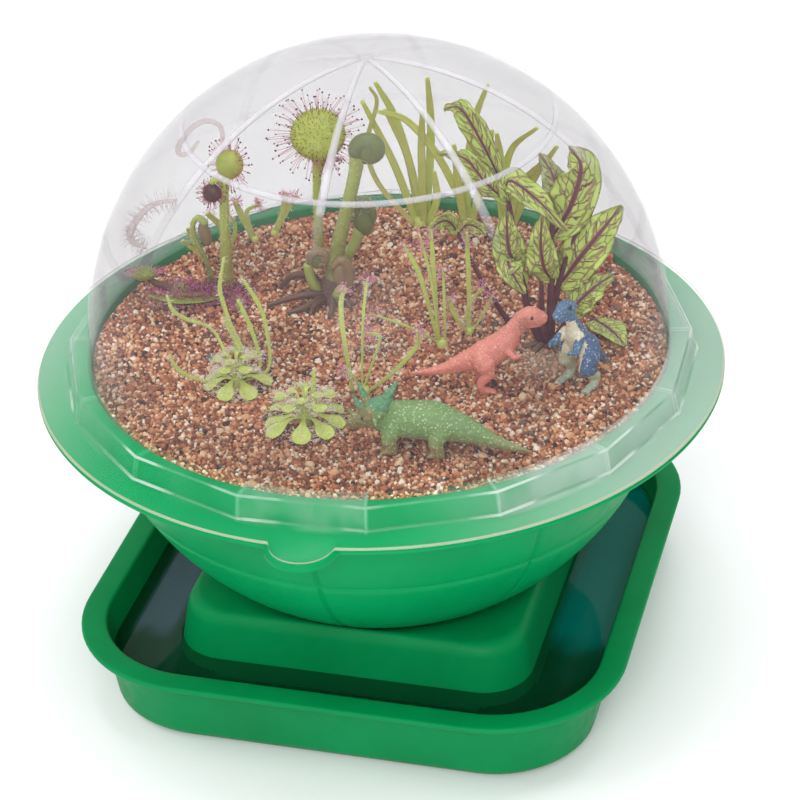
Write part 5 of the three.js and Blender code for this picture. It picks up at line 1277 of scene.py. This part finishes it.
def theropod(name, node, place, heading, size, pose, looks, paint=None, head=1.0, snout=1.0):
    """A toy that stands on two legs; `head` and `snout` scale its head."""
    spine, radii, (ahead, high), (nape, crown) = pose
    nose = head * snout
    shoulder, elbow = (ahead - 0.4, 1.8, high + 0.2), (ahead + 2.8, 3.3, high - 2.2)
    wrist, claw = (ahead + 3.8, 3.0, high - 1.6), (ahead + 4.4, 2.6, high - 2.2)
    brow = [(nape + x * head, y * head, crown + 2.0 * head) for x, y in ((1.1, 1.2), (2.3, 1.1))]
    limbs = [
        (spine, radii, 0.82),
        ([(nape - 0.8, 0, crown), (nape + 1.6, 0, crown + 0.8), (nape + 3.8 * nose, 0, crown + 0.4),
          (nape + 5.6 * nose, 0, crown - 0.3)], np.multiply([2.0, 2.5, 2.3, 1.8], head), 0.85),
        ([(nape, 0, crown - 1.2), (nape + 2.4 * nose, 0, crown - 1.6), (nape + 4.8 * nose, 0, crown - 2.1)],
         np.multiply([1.6, 1.3, 0.9], head), 0.9),
    ]
    for side in (-1, 1):
        knee = (1.2 + 1.5 * side * 0.3, 3.4, 6.0)
        for points, thick, squash in (
            (brow, [0.55, 0.45], 1),
            ([(-1.4, 1.8, 10.2), (-0.2, 3.0, 8.2), knee], [3.1, 2.9, 1.8], 0.75),
            ([knee, (-1.5, 3.5, 3.4), (-1.4, 3.5, 1.8), (-0.6, 3.5, 0.9)], [1.7, 1.3, 1.1, 1.1], 1),
            ([(-1.4, 3.5, 0.9), (0.8, 3.5, 0.9), (2.5, 3.1, 0.6)], [1.05, 0.9, 0.5], 1),
            ([(0.4, 3.7, 0.9), (2.2, 4.5, 0.6)], [0.75, 0.45], 1),
            ([shoulder, (ahead + 1.8, 3.1, high - 1.8), elbow], [1.35, 1.0, 0.85], 1),
            ([elbow, wrist, claw], [0.8, 0.6, 0.35], 1),
        ):
            limbs.append(([(x, side * y, z) for x, y, z in points], thick, squash))
    eyes = [(nape + 1.9 * head, 1.95 * head, crown + 1.1)]
    figure(name, node, place, heading, size, limbs, eyes, looks, paint)


def horned():
    """A toy that stands on four legs, with three horns and a spiked frill."""
    limbs = [
        ([(-31.6, 0, 1.0), (-22, 0, 3.4), (-14, 0, 6.4), (-6, 0, 8.2), (3, 0, 8), (9, 0, 8.2)],
         [0.5, 2.0, 3.9, 5.6, 5.1, 3.6], 0.9),
        ([(8, 0, 8.2), (11.4, 0, 7.6), (14.2, 0, 6.6), (16.2, 0, 5.6)], [3.4, 3.0, 2.1, 1.1], 0.82),
        ([(14.6, 0, 5.0), (16.8, 0, 4.4)], [1.3, 0.7], 0.8),
        ([(9.2, 0, 8.6), (8.2, 0, 10.0), (7.4, 0, 11.0)], [3.4, 4.0, 3.4], 1),
        ([(14.2, 0, 7.6), (15.6, 0, 9.0), (16.4, 0, 10.6)], [1.0, 0.7, 0.25], 1),
    ]
    for turn in np.radians(range(-105, 106, 30)):
        up, out = math.cos(turn), math.sin(turn)
        spoke = lambda r, back: (7.8 - back - 0.4 * r * up, r * out, 10.0 + 0.8 * r * up)
        limbs.append(([spoke(1.5, 0), spoke(3.8, 0), spoke(5.8, 0.8)], [1.7, 1.2, 0.3], 0.8))
    for side in (-1, 1):
        limbs.append(([(10.4, side * 1.8, 9.4), (12.4, side * 2.6, 12.6), (14.2, side * 3.2, 16.6)],
                      [1.9, 1.2, 0.3], 1))
        limbs.append(([(7.4, side * 2.4, 10.6), (5.6, side * 3.6, 13.6), (3.6, side * 4.4, 17.0)],
                      [2.0, 1.3, 0.3], 1))
        for x in (4.2, -8.2):
            ankle = side * 4.3
            limbs.append(([(x - 0.4, side * 2.6, 6.8), (x + 0.6, side * 4.0, 4.0), (x, ankle, 1.7)],
                          [3.0, 2.2, 1.8], 0.9))
            limbs.append(([(x - 0.4, ankle, 1.0), (x + 1.6, ankle, 0.9)], [1.6, 1.2], 1))
            for y in (-1, 0, 1):
                toe = [(x + 1.2, side * (4.3 + y), 0.9), (x + 2.7, side * (4.3 + 1.4 * y), 0.55)]
                limbs.append((toe, [0.75, 0.5], 1))

    def paint(ahead, aside, up):
        crown = (ahead > 2) & (up > 11.8 + 0.25 * np.abs(ahead - 8))
        return np.where(crown, 1, np.where((ahead > 8.4) | (up < 3.4) & (ahead > -12), 2, 0))

    figure("horned_toy", "figure_horned", (22, -50.4), 183, 1.0, limbs, [(11.8, 2.75, 9.0)],
           "toy_green toy_crest toy_brown", paint)


def figures():
    horned()
    theropod("pink_toy", "figure_pink", (34.4, -18.2), 18, 1.0, LEANING, "toy_pink", None, 1.08, 0.8)

    def blue_paint(ahead, aside, up):
        kinds = np.where((ahead > -1.5 + 0.32 * (up - 6)) & (np.abs(aside) < 3.0) & (up > 4.0) & (up < 18.2), 1, 0)
        kinds = np.where((up > 18.6) | ((ahead > 3.4) & (np.abs(aside) > 1.9) & (up > 10.6)), 2, kinds)
        return np.where(((aside < -1.6) & (up < 8.5) & (ahead > -3)) | ((up < 4.8) & (ahead > -3)), 3, kinds)

    theropod("blue_toy", "figure_blue", (58.6, -12.6), -119, 1.2, UPRIGHT,
             "toy_blue toy_cream toy_face toy_leg", blue_paint, 0.72)
    theropod("coral_toy", "figure_coral", (49, 40), -38, 0.72, LEANING, "toy_coral")


# ------------------------------------------------------------------ studio
def camera():
    """The photograph's view."""
    azimuth, elevation, roll = np.radians([16.14, 31.81, -2.61])
    distance, height, aside, lens = 768.9, 73.81, 4.85, 123.55
    back = Vector((math.sin(azimuth) * math.cos(elevation), -math.cos(azimuth) * math.cos(elevation),
                   math.sin(elevation)))
    right = (-back).cross(Vector((0, 0, 1))).normalized()
    up = right.cross(-back)
    target = Vector((0, 0, height)) + right * aside + Vector(AXIS)
    place = (target + back * distance) * MM
    turned_right = right * math.cos(roll) + up * math.sin(roll)
    turned_up = up * math.cos(roll) - right * math.sin(roll)
    data = bpy.data.cameras.new("camera")
    data.sensor_width, data.lens = 36.0, lens
    data.clip_start, data.clip_end = 0.01, 10
    made = bpy.data.objects.new("camera", data)
    made.matrix_world = Matrix((*zip(turned_right, turned_up, back, place), (0, 0, 0, 1)))
    bpy.context.scene.collection.objects.link(made)
    bpy.context.scene.camera = made


def light(name, place, aim, size, power):
    data = bpy.data.lights.new(name, "AREA")
    data.shape, data.size, data.energy = "SQUARE", size, power
    made = bpy.data.objects.new(name, data)
    made.location = place
    made.rotation_mode = "QUATERNION"
    made.rotation_quaternion = (Vector(aim) - Vector(place)).to_track_quat("-Z", "Y")
    bpy.context.scene.collection.objects.link(made)


def studio():
    world = bpy.data.worlds.new("studio")
    world.use_nodes = True
    background = world.node_tree.nodes["Background"]
    background.inputs["Color"].default_value = (0.97, 0.98, 1.0, 1)
    background.inputs["Strength"].default_value = 0.8
    bpy.context.scene.world = world
    light("front", (0.35, -2.1, 1.5), (0, 0, 0.08), 1.3, 36)
    light("side", (-1.5, -0.7, 2.3), (0, 0, 0.08), 1.2, 16)
    light("top", (0.2, 0.2, 2.7), (0, 0.0, 0.0), 1.5, 28)
    mesh = bpy.data.meshes.new("floor")
    half = 3
    mesh.from_pydata([(-half, -half, 0), (half, -half, 0), (half, half, 0), (-half, half, 0)], [], [(0, 1, 2, 3)])
    look = Look("floor", (0.86, 0.86, 0.86), 0.9, Specular_IOR_Level=0.1)
    look.feed("Base Color", look.mix(look.noise(0.002), (0.85, 0.85, 0.85), (0.87, 0.87, 0.87)))
    mesh.materials.append(look.material)
    floor = bpy.data.objects.new("floor", mesh)
    floor.location.z = -0.0002
    bpy.context.scene.collection.objects.link(floor)
    bpy.context.scene.view_settings.view_transform = "Standard"


camera()
studio()
tray_pieces()
pot_piece()
sand_pieces()
tall_sundew()
rolled_sundew()
left_sundew()
hooked_sundew()
small_sprouts()
grasses()
sorrels()
slim_sundews()
rosettes()
figures()
lid_pieces()
